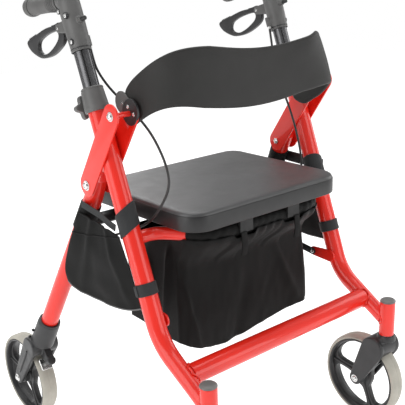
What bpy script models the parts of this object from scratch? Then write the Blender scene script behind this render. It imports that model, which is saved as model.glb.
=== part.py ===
"""Four-wheeled rollator walker: folding tube frame, swivelling front casters, braked rear wheels,
padded seat, bowed backrest band, height-adjustable handles and an under-seat bag.

Metres, +Z up. The front of the walker faces -Y and its left side is +X. The origin is on the
floor, in the middle of the footprint.
"""

import math

import bmesh
import bpy
from mathutils import Matrix, Vector

# ---------------------------------------------------------------- driving dimensions

WHEEL_R = 0.095
TYRE_W = 0.036
RIM_R = 0.0866

SIDE_X = 0.247
STEM_X = 0.247
STEM_Y = -0.3205
CASTER_TRAIL = 0.056
REAR_X = 0.2965
REAR_AXLE = (0.2646, WHEEL_R)

TUBE_R = 0.018
POST_R = 0.0152
CROSSBAR_R = 0.0195
RAIL_R = 0.012
WELD = 0.0004

LEG_LEAN = 0.364
LEG_REF = (-0.1531, 0.4236)
LEG_TOP_Z = 0.746
LEG_KNEE = (-0.1903, 0.3215)
LEG_TOE = (-0.3115, 0.2495)

HOUSING_Z = (0.2140, 0.2885)
HOUSING_R = 0.0158
CAP_TOP_Z = 0.2952

PIVOT = (-0.0175, 0.590)
BACK_PIVOT = (-0.1155, 0.729)
BRACKET_R = 0.0215
PLATE_T = 0.004

REAR_SLOPE = 0.5165
SPLAY = 0.1456
SPLAY_Z = 0.578
REAR_LEG_END_Z = 0.236

CROSSBAR = (-0.2585, 0.281)
HOOP_Z = 0.505
HOOP_FRONT_Y = -0.2085
RAIL_Z = 0.505

SEAT_HALF = 0.195
SEAT_Y = (-0.2315, 0.0950)
SEAT_TOP = 0.561

LINK_A = (-0.1305, 0.358)
LINK_LEN = 0.1175
LINK_REST = math.radians(7.8)
LINK_IN_X = 0.2180

GRIP_FRONT = (0.0476, 0.9122)
GRIP_REAR = (0.1695, 0.8990)
GRIP_DIR = Vector((0.0, GRIP_REAR[0] - GRIP_FRONT[0], GRIP_REAR[1] - GRIP_FRONT[1])).normalized()
LEVER_PIN = (0.0565, 0.866)

BAG_X = 0.170
BAG_Y = (-0.1545, 0.0150)
BAG_Z = (0.272, 0.4815)

SIDES = (("left", 1.0), ("right", -1.0))

# ---------------------------------------------------------------- scene and materials

for old in list(bpy.data.objects):
    bpy.data.objects.remove(old, do_unlink=True)

parts = bpy.data.collections.new("rollator_walker")
bpy.context.scene.collection.children.link(parts)
cutters = bpy.data.collections.new("cutters")
bpy.context.scene.collection.children.link(cutters)
cutters.hide_render = True


def material(name, colour, roughness, metallic=0.0):
    mat = bpy.data.materials.new(name)
    mat.use_nodes = True
    shader = mat.node_tree.nodes["Principled BSDF"]
    shader.inputs["Base Color"].default_value = (*colour, 1.0)
    shader.inputs["Roughness"].default_value = roughness
    shader.inputs["Metallic"].default_value = metallic
    return mat


RED = ((0.62, 0.02, 0.018), 0.28, 0.0)
DARK = ((0.10, 0.10, 0.105), 0.45, 0.0)
BLACK = ((0.02, 0.02, 0.02), 0.5, 0.0)
CLOTH = ((0.018, 0.018, 0.02), 0.9, 0.0)
TYRE = ((0.42, 0.39, 0.33), 0.75, 0.0)
STEEL = ((0.55, 0.55, 0.56), 0.3, 1.0)


def keep(obj, look):
    """Files an object as a part, with a material of its own."""
    for coll in list(obj.users_collection):
        coll.objects.unlink(obj)
    parts.objects.link(obj)
    obj.data.materials.clear()
    obj.data.materials.append(material(obj.name + "_paint", *look))
    return obj


def hide(obj):
    """Files an object as a cutter."""
    for coll in list(obj.users_collection):
        coll.objects.unlink(obj)
    cutters.objects.link(obj)
    obj.display_type = "WIRE"
    obj.hide_render = True
    return obj


def evaluated_mesh(obj):
    bpy.context.view_layer.update()
    graph = bpy.context.evaluated_depsgraph_get()
    return bpy.data.meshes.new_from_object(obj.evaluated_get(graph))


def as_mesh(obj):
    """Turns a curve, or a mesh with modifiers, into a plain welded mesh with the same name."""
    mesh = evaluated_mesh(obj)
    bm = bmesh.new()
    bm.from_mesh(mesh)
    bmesh.ops.remove_doubles(bm, verts=bm.verts, dist=1e-6)
    bmesh.ops.recalc_face_normals(bm, faces=bm.faces)
    bm.to_mesh(mesh)
    bm.free()
    name = obj.name
    matrix = obj.matrix_world.copy()
    bpy.data.objects.remove(obj, do_unlink=True)
    made = bpy.data.objects.new(name, mesh)
    made.matrix_world = matrix
    bpy.context.scene.collection.objects.link(made)
    return made


def boolean(obj, other, operation):
    mod = obj.modifiers.new(operation.lower(), "BOOLEAN")
    mod.operation = operation
    mod.object = other
    mod.solver = "EXACT"


def cut(obj, *tools):
    """Cuts each tool out of the object and applies the result."""
    for tool in tools:
        boolean(obj, hide(tool), "DIFFERENCE")
    return as_mesh(obj)


def fuse(obj, *others):
    """Joins overlapping solids into one closed body."""
    for other in others:
        boolean(obj, hide(other), "UNION")
    return as_mesh(obj)


def smooth(obj, angle=35.0):
    obj.data.shade_smooth()
    obj.data.set_sharp_from_angle(angle=math.radians(angle))
    return obj


def set_origin(obj, point):
    """Moves the object's origin to a point without moving its shape."""
    bpy.context.view_layer.update()
    shift = Matrix.Translation(-Vector(point))
    obj.data.transform(shift @ obj.matrix_world)
    obj.matrix_world = Matrix.Translation(Vector(point))
    return obj


# ---------------------------------------------------------------- shape makers


def tube(name, points, radius, resolution=6, scales=None):
    """A solid rod swept along a polyline."""
    curve = bpy.data.curves.new(name, "CURVE")
    curve.dimensions = "3D"
    curve.bevel_depth = radius
    curve.bevel_resolution = resolution
    curve.use_fill_caps = True
    spline = curve.splines.new("POLY")
    spline.points.add(len(points) - 1)
    for index, point in enumerate(points):
        spline.points[index].co = (*point, 1.0)
        if scales:
            spline.points[index].radius = scales[index]
    obj = bpy.data.objects.new(name, curve)
    bpy.context.scene.collection.objects.link(obj)
    return obj


def rod(name, start, end, radius, sides=16, radius_end=None):
    """A straight cylinder or cone between two points."""
    start = Vector(start)
    end = Vector(end)
    bm = bmesh.new()
    bmesh.ops.create_cone(
        bm,
        cap_ends=True,
        segments=sides,
        radius1=radius,
        radius2=radius if radius_end is None else radius_end,
        depth=(end - start).length,
    )
    mesh = bpy.data.meshes.new(name)
    bm.to_mesh(mesh)
    bm.free()
    obj = bpy.data.objects.new(name, mesh)
    turn = (end - start).to_track_quat("Z", "Y").to_matrix().to_4x4()
    obj.matrix_world = Matrix.Translation((start + end) / 2) @ turn
    bpy.context.scene.collection.objects.link(obj)
    return obj


def block(name, low, high):
    bm = bmesh.new()
    bmesh.ops.create_cube(bm, size=1.0)
    size = [h - l for l, h in zip(low, high)]
    bmesh.ops.scale(bm, vec=size, verts=bm.verts)
    mesh = bpy.data.meshes.new(name)
    bm.to_mesh(mesh)
    bm.free()
    obj = bpy.data.objects.new(name, mesh)
    obj.location = [(h + l) / 2 for l, h in zip(low, high)]
    bpy.context.scene.collection.objects.link(obj)
    return obj


def turned(name, profile, matrix, steps=24):
    """A profile of (radius, height) pairs turned about local Z. It runs down its outer side."""
    bm = bmesh.new()
    verts = [bm.verts.new((r, 0.0, z)) for r, z in profile]
    for first, second in zip(verts, verts[1:]):
        bm.edges.new((first, second))
    if profile[0][0] > 1e-6:
        bm.edges.new((verts[-1], verts[0]))
    mesh = bpy.data.meshes.new(name)
    bm.to_mesh(mesh)
    bm.free()
    obj = bpy.data.objects.new(name, mesh)
    bpy.context.scene.collection.objects.link(obj)
    mod = obj.modifiers.new("turn", "SCREW")
    mod.steps = steps
    mod.render_steps = steps
    mod.use_merge_vertices = True
    mod.merge_threshold = 0.00005
    obj.matrix_world = matrix
    return as_mesh(obj)


def flat(name, outlines, x_low, x_high):
    """Outlines of (y, z) points filled in the Y-Z plane and given thickness along X."""
    curve = bpy.data.curves.new(name, "CURVE")
    curve.dimensions = "2D"
    curve.fill_mode = "BOTH"
    curve.extrude = abs(x_high - x_low) / 2
    for outline in outlines:
        spline = curve.splines.new("POLY")
        spline.points.add(len(outline) - 1)
        spline.use_cyclic_u = True
        for index, (y, z) in enumerate(outline):
            spline.points[index].co = (y, z, 0.0, 1.0)
    obj = bpy.data.objects.new(name, curve)
    # Local X, Y and Z become world Y, Z and X.
    turn = Matrix(((0, 0, 1, 0), (1, 0, 0, 0), (0, 1, 0, 0), (0, 0, 0, 1)))
    obj.matrix_world = Matrix.Translation(((x_low + x_high) / 2, 0, 0)) @ turn
    bpy.context.scene.collection.objects.link(obj)
    return as_mesh(obj)


def flat_on(name, outlines, matrix, depth):
    """Outlines of (x, y) points filled in local X-Y and given a depth either side of it."""
    curve = bpy.data.curves.new(name, "CURVE")
    curve.dimensions = "2D"
    curve.fill_mode = "BOTH"
    curve.extrude = depth / 2
    for outline in outlines:
        spline = curve.splines.new("POLY")
        spline.points.add(len(outline) - 1)
        spline.use_cyclic_u = True
        for index, (x, y) in enumerate(outline):
            spline.points[index].co = (x, y, 0.0, 1.0)
    obj = bpy.data.objects.new(name, curve)
    obj.matrix_world = matrix
    bpy.context.scene.collection.objects.link(obj)
    return as_mesh(obj)


def circle(centre, radius, count=16, start=0.0):
    step = 2 * math.pi / count
    return [
        (centre[0] + radius * math.cos(start + step * i), centre[1] + radius * math.sin(start + step * i))
        for i in range(count)
    ]


def two_circle(p0, r0, p1, r1, count=7):
    """The outline of a plate that wraps one circle at each end."""
    angle = math.atan2(p1[1] - p0[1], p1[0] - p0[0])
    gap = math.hypot(p1[0] - p0[0], p1[1] - p0[1])
    lean = math.acos((r0 - r1) / gap)
    outline = []
    for i in range(count):
        a = angle + lean + (2 * math.pi - 2 * lean) * i / (count - 1)
        outline.append((p0[0] + r0 * math.cos(a), p0[1] + r0 * math.sin(a)))
    for i in range(count):
        a = angle - lean + 2 * lean * i / (count - 1)
        outline.append((p1[0] + r1 * math.cos(a), p1[1] + r1 * math.sin(a)))
    return outline


def filleted(points, radius, count=5):
    """A polyline with each inner corner rounded to the radius."""
    points = [Vector(p) for p in points]
    path = [points[0]]
    for before, corner, after in zip(points, points[1:], points[2:]):
        back = (before - corner).normalized()
        ahead = (after - corner).normalized()
        half = back.angle(ahead) / 2
        reach = radius / math.tan(half)
        reach = min(reach, 0.45 * (before - corner).length, 0.45 * (after - corner).length)
        first = corner + back * reach
        last = corner + ahead * reach
        for i in range(count + 1):
            t = i / count
            path.append(first * (1 - t) ** 2 + corner * 2 * t * (1 - t) + last * t * t)
    path.append(points[-1])
    return path


def flowing(points, per_span=4, closed=False):
    """A smooth curve through the points (Catmull-Rom)."""
    points = [Vector(p) for p in points]
    count = len(points)
    spans = count if closed else count - 1
    path = []
    for i in range(spans):
        if closed:
            p0, p1, p2, p3 = (points[(i + k) % count] for k in (-1, 0, 1, 2))
        else:
            p1, p2 = points[i], points[i + 1]
            p0 = points[i - 1] if i else p1 * 2 - p2
            p3 = points[i + 2] if i + 2 < count else p2 * 2 - p1
        for k in range(per_span):
            t = k / per_span
            path.append(
                (p1 * 2 + (p2 - p0) * t + (p0 * 2 - p1 * 5 + p2 * 4 - p3) * t * t
                 + (p1 * 3 - p0 - p2 * 3 + p3) * t ** 3) / 2
            )
    if not closed:
        path.append(points[-1])
    return path


# ---------------------------------------------------------------- lines of the frame


def leg_y(z):
    """Y of the front leg's straight axis at a height."""
    return LEG_REF[0] + LEG_LEAN * (z - LEG_REF[1])


def on_leg(s, z):
    return Vector((s * SIDE_X, leg_y(z), z))


LEG_UP = Vector((0.0, LEG_LEAN, 1.0)).normalized()
LEG_BACK = Vector((0.0, 1.0, -LEG_LEAN)).normalized()


def rear_y(z):
    return PIVOT[0] + REAR_SLOPE * (PIVOT[1] - z)


def rear_x(z):
    return SIDE_X + SPLAY * max(0.0, SPLAY_Z - 0.018 - z)


def on_rear(s, z):
    return Vector((s * rear_x(z), rear_y(z), z))


def along_leg(s, z, twist=0.0):
    """A frame at a point of the leg axis: local Z up the leg, local X towards the rear."""
    side = LEG_UP.cross(LEG_BACK)
    basis = Matrix((LEG_BACK, side, LEG_UP)).transposed().to_4x4()
    return Matrix.Translation(on_leg(s, z)) @ basis @ Matrix.Rotation(twist, 4, "Z")


def leg_path(s):
    top = on_leg(s, LEG_TOP_Z)
    knee = (s * SIDE_X, *LEG_KNEE)
    toe = (s * SIDE_X, *LEG_TOE)
    return filleted([top, knee, toe], 0.11, 5)


# ---------------------------------------------------------------- front frame

for side, s in SIDES:
    path = leg_path(s)
    scales = [1.0] * (len(path) - 1) + [0.86]
    leg = as_mesh(tube("front_leg_" + side, path, TUBE_R, 6, scales))
    bore = rod("leg_bore_" + side, on_leg(s, 0.575), on_leg(s, 0.80), POST_R + 0.0005, 24)
    socket = rod("leg_socket_" + side, (s * STEM_X, STEM_Y, 0.19), (s * STEM_X, STEM_Y, 0.32), HOUSING_R + WELD, 24)
    leg = smooth(keep(cut(leg, bore, socket), RED))

    housing = turned(
        "caster_housing_" + side,
        [(0.0064, HOUSING_Z[1]), (HOUSING_R, HOUSING_Z[1]), (HOUSING_R, HOUSING_Z[0]), (0.0064, HOUSING_Z[0])],
        Matrix.Translation((s * STEM_X, STEM_Y, 0)),
        16,
    )
    smooth(keep(housing, RED))
    cap = turned(
        "caster_cap_" + side,
        [(0.0, CAP_TOP_Z), (0.011, CAP_TOP_Z - 0.0006), (0.0156, CAP_TOP_Z - 0.0028),
         (0.0162, HOUSING_Z[1] + 0.0003), (0.0058, HOUSING_Z[1] + 0.0003), (0.0058, 0.2835), (0.0, 0.2835)],
        Matrix.Translation((s * STEM_X, STEM_Y, 0)),
        16,
    )
    smooth(keep(cap, DARK))

bar = rod("front_crossbar", (0.010 - SIDE_X, *CROSSBAR), (SIDE_X - 0.010, *CROSSBAR), CROSSBAR_R, 16)
cope = [tube("cope_" + side, leg_path(s), TUBE_R + WELD, 6) for side, s in SIDES]
bar = cut(bar, *[as_mesh(c) for c in cope])


def largest_island(obj):
    """Drops the slivers that a cope leaves past the tube it fits."""
    bm = bmesh.new()
    bm.from_mesh(obj.data)
    left = set(bm.verts)
    islands = []
    while left:
        stack = [left.pop()]
        island = set(stack)
        while stack:
            for edge in stack.pop().link_edges:
                for vert in edge.verts:
                    if vert not in island:
                        island.add(vert)
                        left.discard(vert)
                        stack.append(vert)
        islands.append(island)
    islands.sort(key=lambda i: max(v.co.x for v in i) - min(v.co.x for v in i), reverse=True)
    for island in islands[1:]:
        bmesh.ops.delete(bm, geom=list(island), context="VERTS")
    bm.to_mesh(obj.data)
    bm.free()
    return obj


smooth(keep(largest_island(bar), RED))

# The hoop that carries the seat: in from each leg, then forwards under the cushion.
hoop_half = [(SIDE_X - 0.012, -0.1215), (0.196, -0.1215), (0.137, -0.200), (0.100, HOOP_FRONT_Y)]
hoop_points = [(x, y, HOOP_Z) for x, y in hoop_half]
hoop_points += [(-x, y, HOOP_Z) for x, y in reversed(hoop_half)]
hoop = as_mesh(tube("seat_support_tube", filleted(hoop_points, 0.045, 3), RAIL_R, 3))
cope = [as_mesh(tube("hoop_cope_" + side, leg_path(s), TUBE_R + WELD, 6)) for side, s in SIDES]
smooth(keep(largest_island(cut(hoop, *cope)), RED))

# Plates either side of each leg: the backrest turns on their top bolt, the rear leg on the lower.
for side, s in SIDES:
    outline = two_circle(BACK_PIVOT, BRACKET_R, PIVOT, BRACKET_R, 7)
    x0 = SIDE_X - TUBE_R - WELD - PLATE_T
    x1 = SIDE_X + TUBE_R + WELD
    inner = flat("fold_bracket_" + side, [outline], s * x0, s * (x0 + PLATE_T))
    outer = flat("outer_plate_" + side, [outline], s * x1, s * (x1 + PLATE_T))
    top = rod("top_bolt_" + side, (s * 0.2222, *BACK_PIVOT), (s * (x1 + PLATE_T + 0.0005), *BACK_PIVOT), 0.004, 12)
    low = rod("low_bolt_" + side, (s * (x0 + 0.001), *PIVOT), (s * (x1 + PLATE_T + 0.0005), *PIVOT), 0.005, 16)
    smooth(keep(fuse(inner, outer, top, low), RED))

    tab = flat(
        "link_tab_" + side,
        [two_circle((leg_y(LINK_A[1]), LINK_A[1]), 0.013, LINK_A, 0.010), circle(LINK_A, 0.0037, 12)],
        s * (LINK_IN_X + 0.0066),
        s * (SIDE_X - TUBE_R - WELD),
    )
    keep(tab, RED)

# Height clamps: a tapered collar over the leg's mouth with a screw boss at the back.
CLAMP_Z = 0.7265
for side, s in SIDES:
    frame = along_leg(s, CLAMP_Z)
    lip = (LEG_TOP_Z - CLAMP_Z) / LEG_UP.z + 0.0006
    collar = turned(
        "height_clamp_" + side,
        [(POST_R + 0.0006, 0.0435), (0.0188, 0.0435), (0.0197, 0.0415), (0.0226, 0.0060), (0.0226, 0.0),
         (TUBE_R + WELD + 0.0002, 0.0), (TUBE_R + WELD + 0.0002, lip), (POST_R + 0.0006, lip)],
        frame,
        16,
    )
    centre = on_leg(s, CLAMP_Z) + LEG_UP * 0.0165
    boss = rod("clamp_boss_" + side, centre + LEG_BACK * 0.0196, centre + LEG_BACK * 0.0275, 0.0085, 12)
    drill = rod("clamp_drill_" + side, centre + LEG_BACK * 0.0215, centre + LEG_BACK * 0.035, 0.0036, 12)
    smooth(keep(cut(fuse(collar, boss), drill), DARK))

    lobes = 5
    rim = []
    for i in range(lobes * 4):
        a = 2 * math.pi * i / (lobes * 4)
        r = 0.0185 + 0.0040 * math.cos(lobes * a)
        rim.append((r * math.cos(a), r * math.sin(a)))
    turn = LEG_BACK.to_track_quat("Z", "Y").to_matrix().to_4x4()
    face = Matrix.Translation(centre + LEG_BACK * 0.0385) @ turn
    knob = flat_on("clamp_knob_" + side, [rim], face, 0.012)
    stud = rod("knob_stud_" + side, centre + LEG_BACK * 0.0222, centre + LEG_BACK * 0.035, 0.0032, 12)
    smooth(set_origin(keep(fuse(knob, stud), DARK), centre))

# ---------------------------------------------------------------- handles

for side, s in SIDES:
    foot = on_leg(s, 0.665)
    head = on_leg(s, 0.874)
    section = []
    for i in range(6):
        for offset, r in ((-22, POST_R), (-8, POST_R), (8, POST_R), (22, POST_R), (26, POST_R - 0.0016), (34, POST_R - 0.0016)):
            a = math.radians(60 * i + offset)
            section.append((r * math.cos(a), r * math.sin(a)))
    middle = along_leg(s, (foot.z + head.z) / 2)
    post = flat_on("handle_post_" + side, [section], middle, (head - foot).length)
    smooth(set_origin(keep(post, BLACK), on_leg(s, 0.70)), 25)

    # Casting: a sleeve over the post, a spigot for the grip and two cheeks for the lever.
    sleeve = turned(
        "handle_casting_" + side,
        [(0.0, 0.1045), (0.010, 0.1035), (0.0165, 0.0995), (0.0200, 0.092), (0.0205, 0.066), (0.0196, 0.030),
         (0.0182, 0.004), (0.0174, 0.0), (0.0, 0.0)],
        along_leg(s, 0.8295),
        16,
    )
    grip_foot = Vector((s * SIDE_X, *GRIP_FRONT))
    spigot = rod("grip_spigot_" + side, grip_foot - GRIP_DIR * 0.026, grip_foot + GRIP_DIR * 0.0930, 0.0105, 12)
    root = (leg_y(0.872) + 0.006, 0.872)
    ear = two_circle(root, 0.013, LEVER_PIN, 0.0085, 6)
    ears = [
        flat("ear_out_" + side, [ear], s * (SIDE_X + 0.0054), s * (SIDE_X + 0.0090)),
        flat("ear_in_" + side, [ear], s * (SIDE_X - 0.0090), s * (SIDE_X - 0.0054)),
    ]
    pin = rod("lever_pin_" + side, (s * (SIDE_X - 0.008), *LEVER_PIN), (s * (SIDE_X + 0.008), *LEVER_PIN), 0.0025, 12)
    ferrule_at = Vector((s * (SIDE_X - 0.0225), leg_y(0.842) + 0.006, 0.842))
    ferrule = rod("ferrule_" + side, ferrule_at - LEG_UP * 0.008, ferrule_at + LEG_UP * 0.012, 0.0050, 12)
    bore = rod("casting_bore_" + side, on_leg(s, 0.815), on_leg(s, 0.8765), POST_R + 0.0006, 16)
    smooth(keep(cut(fuse(sleeve, spigot, *ears, pin, ferrule), bore), DARK))

    grip = turned(
        "hand_grip_" + side,
        [(0.0, 0.1225), (0.0130, 0.1215), (0.0178, 0.1155), (0.0176, 0.1060), (0.0156, 0.0950),
         (0.0157, 0.0200), (0.0172, 0.0100), (0.0172, 0.0), (0.0110, 0.0), (0.0110, 0.0960), (0.0, 0.0960)],
        Matrix.Translation(grip_foot) @ GRIP_DIR.to_track_quat("Z", "Y").to_matrix().to_4x4(),
        16,
    )
    smooth(keep(grip, DARK))

    # Brake lever: a closed loop that hangs under the grip from its eye.
    outer = [(0.0535, 0.8750), (0.0770, 0.8700), (0.1130, 0.8630), (0.1500, 0.8500), (0.1850, 0.8360),
             (0.1765, 0.8205), (0.1500, 0.8100), (0.1250, 0.8080), (0.0880, 0.8175), (0.0520, 0.8385), (0.0450, 0.8560)]
    inner = [(0.0690, 0.8600), (0.0880, 0.8575), (0.1160, 0.8495), (0.1400, 0.8375), (0.1450, 0.8235),
             (0.1350, 0.8160), (0.1150, 0.8170), (0.0930, 0.8265), (0.0720, 0.8410), (0.0640, 0.8520)]
    loops = []
    for ring in (outer, inner):
        loops.append([(p.x, p.y) for p in flowing([(y, z, 0.0) for y, z in ring], 2, True)])
    loops.append(circle(LEVER_PIN, 0.0029, 12))
    lever = flat("brake_lever_" + side, loops, s * (SIDE_X - 0.0048), s * (SIDE_X + 0.0048))
    set_origin(keep(lever, BLACK), (s * SIDE_X, *LEVER_PIN))

# ---------------------------------------------------------------- rear frame


def rear_path(s):
    top = Vector((s * SIDE_X, rear_y(PIVOT[1] + 0.014), PIVOT[1] + 0.014))
    bend = Vector((s * SIDE_X, rear_y(SPLAY_Z - 0.018), SPLAY_Z - 0.018))
    return filleted([top, bend, on_rear(s, REAR_LEG_END_Z)], 0.08, 3)


LINK_B = (rear_y(LINK_A[1]), LINK_A[1])
for side, s in SIDES:
    leg = as_mesh(tube("rear_leg_" + side, rear_path(s), TUBE_R, 6))
    stud = rod("link_stud_" + side, (s * (LINK_IN_X + 0.0036), *LINK_B), (s * rear_x(LINK_B[1]), *LINK_B), 0.0070, 12)
    tip = rod("link_stud_tip_" + side, (s * (LINK_IN_X + 0.0002), *LINK_B), (s * (LINK_IN_X + 0.008), *LINK_B), 0.0034, 12)
    eye = rod("rear_leg_eye_" + side, (s * 0.20, *PIVOT), (s * 0.30, *PIVOT), 0.0054, 16)
    leg = cut(fuse(leg, stud, tip), eye)
    smooth(set_origin(keep(leg, RED), (s * SIDE_X, *PIVOT)))

rail_y = rear_y(RAIL_Z)
rail = rod("rear_seat_rail", (-rear_x(RAIL_Z), rail_y, RAIL_Z), (rear_x(RAIL_Z), rail_y, RAIL_Z), RAIL_R, 12)
cope = [as_mesh(tube("rail_cope_" + side, rear_path(s), TUBE_R + WELD, 6)) for side, s in SIDES]
smooth(keep(largest_island(cut(rail, *cope)), BLACK))

CROWN = (0.1925, 0.1975)


def rear_line(s):
    """Direction up the splayed stretch of the rear leg."""
    return (on_rear(s, 0.45) - on_rear(s, 0.30)).normalized()


def beside_rear(s, z, inwards, backwards):
    """A point beside the rear leg's axis, so far towards the walker's middle and so far behind."""
    return on_rear(s, z) + Vector((-s * inwards, backwards, 0.0))


def cable_end(s):
    """Where the brake cable goes into the rear fork."""
    return beside_rear(s, 0.262, 0.0130, 0.0275)


SHOE_DIR = Vector((0.0, -0.829, 0.559)).normalized()
for side, s in SIDES:
    axle = Vector((s * REAR_X, *REAR_AXLE))
    top = on_rear(s, 0.264)
    bottom = on_rear(s, 0.205)
    collar = rod("rear_fork_" + side, bottom, top, 0.0248, 16, 0.0232)
    crown = rod("rear_crown_" + side, (s * (REAR_X - 0.0318), *CROWN), (s * (REAR_X + 0.0318), *CROWN), 0.0225, 14)
    arm = two_circle(CROWN, 0.0225, REAR_AXLE, 0.0140, 6)
    arms = [
        flat("rear_arm_out_" + side, [arm], s * (REAR_X + 0.0222), s * (REAR_X + 0.0312)),
        flat("rear_arm_in_" + side, [arm], s * (REAR_X - 0.0312), s * (REAR_X - 0.0222)),
    ]
    shaft = rod("rear_axle_" + side, axle - Vector((0.0340, 0, 0)), axle + Vector((0.0340, 0, 0)), 0.0058, 12)
    guide = rod("shoe_guide_" + side, axle + SHOE_DIR * 0.1180, axle + SHOE_DIR * 0.1400, 0.0095, 12)
    boss = rod("cable_boss_" + side, cable_end(s) - rear_line(s) * 0.0180, cable_end(s), 0.0070, 12)
    guide_at = axle + SHOE_DIR * 0.130
    bracket = flat(
        "shoe_bracket_" + side,
        [two_circle(CROWN, 0.0180, (guide_at.y, guide_at.z), 0.0085, 5)],
        s * (REAR_X - 0.0085),
        s * (REAR_X + 0.0085),
    )
    mouth = rod("fork_mouth_" + side, on_rear(s, 0.2345), on_rear(s, 0.30), TUBE_R + 0.0008, 16)
    slot = rod("shoe_slot_" + side, axle + SHOE_DIR * 0.100, axle + SHOE_DIR * 0.134, 0.0046, 12)
    fork = cut(fuse(collar, crown, *arms, shaft, guide, bracket, boss), mouth, slot)
    smooth(keep(fork, DARK))

    # Brake shoe: a flat pad across the tyre on a short plunger.
    across = Vector((0.0, SHOE_DIR.z, -SHOE_DIR.y))
    pad = []
    for along, depth in ((-0.0120, 0.0), (0.0120, 0.0), (0.0120, 0.0058), (-0.0120, 0.0058)):
        corner = axle + SHOE_DIR * (WHEEL_R + 0.0018 + depth) + across * along
        pad.append((corner.y, corner.z))
    shoe = flat("brake_shoe_" + side, [pad], s * (REAR_X - 0.013), s * (REAR_X + 0.013))
    plunger = rod("plunger_" + side, axle + SHOE_DIR * 0.1010, axle + SHOE_DIR * 0.1310, 0.0042, 12)
    keep(fuse(shoe, plunger), STEEL)

# ---------------------------------------------------------------- front casters

for side, s in SIDES:
    stem = Vector((s * STEM_X, STEM_Y, 0.0))
    hub = stem + Vector((0, CASTER_TRAIL, WHEEL_R))
    spindle = rod("front_fork_" + side, stem + Vector((0, 0, 0.205)), stem + Vector((0, 0, 0.2815)), 0.0060, 12)
    collar = rod("caster_collar_" + side, stem + Vector((0, 0, 0.200)), stem + Vector((0, 0, 0.2134)), 0.0195, 16, 0.0180)
    bridge = block(
        "caster_bridge_" + side,
        (stem.x - 0.0312, STEM_Y - 0.0190, 0.1945),
        (stem.x + 0.0312, STEM_Y + 0.0440, 0.2075),
    )
    arm = two_circle((STEM_Y + 0.015, 0.1800), 0.0275, (hub.y, hub.z), 0.0150, 6)
    arms = [
        flat("caster_arm_out_" + side, [arm], stem.x + 0.0222, stem.x + 0.0312),
        flat("caster_arm_in_" + side, [arm], stem.x - 0.0312, stem.x - 0.0222),
    ]
    shaft = rod("caster_axle_" + side, hub - Vector((0.0340, 0, 0)), hub + Vector((0.0340, 0, 0)), 0.0058, 12)
    fork = fuse(spindle, collar, bridge, *arms, shaft)
    smooth(set_origin(keep(fork, DARK), stem))

# ---------------------------------------------------------------- wheels


# Half of a rim window's outline: radius, and degrees to one side of the window's middle.
HALF_WINDOW = [(0.0272, 30), (0.0315, 44), (0.0450, 50.5), (0.0590, 52.5), (0.0690, 51), (0.0752, 44), (0.0770, 33), (0.0770, 16)]
WINDOW = [(0.0262, 0)] + HALF_WINDOW + [(0.0770, 0)] + [(r, -turn) for r, turn in reversed(HALF_WINDOW)]


def wheel(prefix, side, centre):
    """A tyre and a three-spoked rim, both turning about X."""
    spin = Matrix.Translation(centre) @ Matrix.Rotation(math.pi / 2, 4, "Y")
    w = TYRE_W / 2
    tyre = turned(
        prefix + "_tyre_" + side,
        [(RIM_R, w - 0.0016), (0.0890, w), (0.0925, w - 0.0024), (WHEEL_R, w - 0.0085),
         (WHEEL_R, 0.0085 - w), (0.0925, 0.0024 - w), (0.0890, -w), (RIM_R, 0.0016 - w)],
        spin,
        32,
    )
    smooth(set_origin(keep(tyre, TYRE), centre), 40)

    rim = turned(
        prefix + "_rim_" + side,
        [(0.0064, 0.0205), (0.0155, 0.0205), (0.0165, 0.0075), (0.0800, 0.0065), (0.0812, w - 0.0016),
         (RIM_R - 0.0005, w - 0.0016), (RIM_R - 0.0005, 0.0016 - w), (0.0812, 0.0016 - w), (0.0800, -0.0065),
         (0.0165, -0.0075), (0.0155, -0.0205), (0.0064, -0.0205)],
        spin,
        24,
    )
    windows = []
    for k in range(3):
        mid = 2 * math.pi * k / 3 + math.radians(68)
        ring = []
        for r, turn in WINDOW:
            a = mid + math.radians(turn)
            ring.append((r * math.cos(a), r * math.sin(a)))
        windows.append([(centre.y + y, centre.z + z) for y, z in ring])
    holes = flat(prefix + "_windows_" + side, windows, centre.x - 0.03, centre.x + 0.03)
    rim = cut(rim, holes)
    smooth(set_origin(keep(rim, BLACK), centre), 30)


for side, s in SIDES:
    wheel("front", side, Vector((s * STEM_X, STEM_Y + CASTER_TRAIL, WHEEL_R)))
    wheel("rear", side, Vector((s * REAR_X, *REAR_AXLE)))

# ---------------------------------------------------------------- side links

for side, s in SIDES:
    a = Vector(LINK_A)
    b = Vector(LINK_B)
    knee_a = a + LINK_LEN * Vector((math.cos(LINK_REST), math.sin(LINK_REST)))
    knee_b = b + LINK_LEN * Vector((-math.cos(LINK_REST), math.sin(LINK_REST)))
    front = flat(
        "front_side_link_" + side,
        [two_circle(a, 0.0075, knee_a, 0.0075)],
        s * (LINK_IN_X + 0.0032),
        s * (LINK_IN_X + 0.0062),
    )
    peg = rod("link_peg_" + side, (s * (LINK_IN_X + 0.004), *LINK_A), (s * (LINK_IN_X + 0.0095), *LINK_A), 0.0033, 12)
    keep(fuse(front, peg), BLACK)
    set_origin(bpy.data.objects["front_side_link_" + side], (s * LINK_IN_X, *LINK_A))
    rear = flat(
        "rear_side_link_" + side,
        [two_circle(b, 0.0078, knee_b, 0.0075), circle(b, 0.0038, 12)],
        s * (LINK_IN_X - 0.0002),
        s * (LINK_IN_X + 0.0028),
    )
    set_origin(keep(rear, BLACK), (s * LINK_IN_X, *LINK_B))

# ---------------------------------------------------------------- seat

front_y, back_y = SEAT_Y


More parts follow.
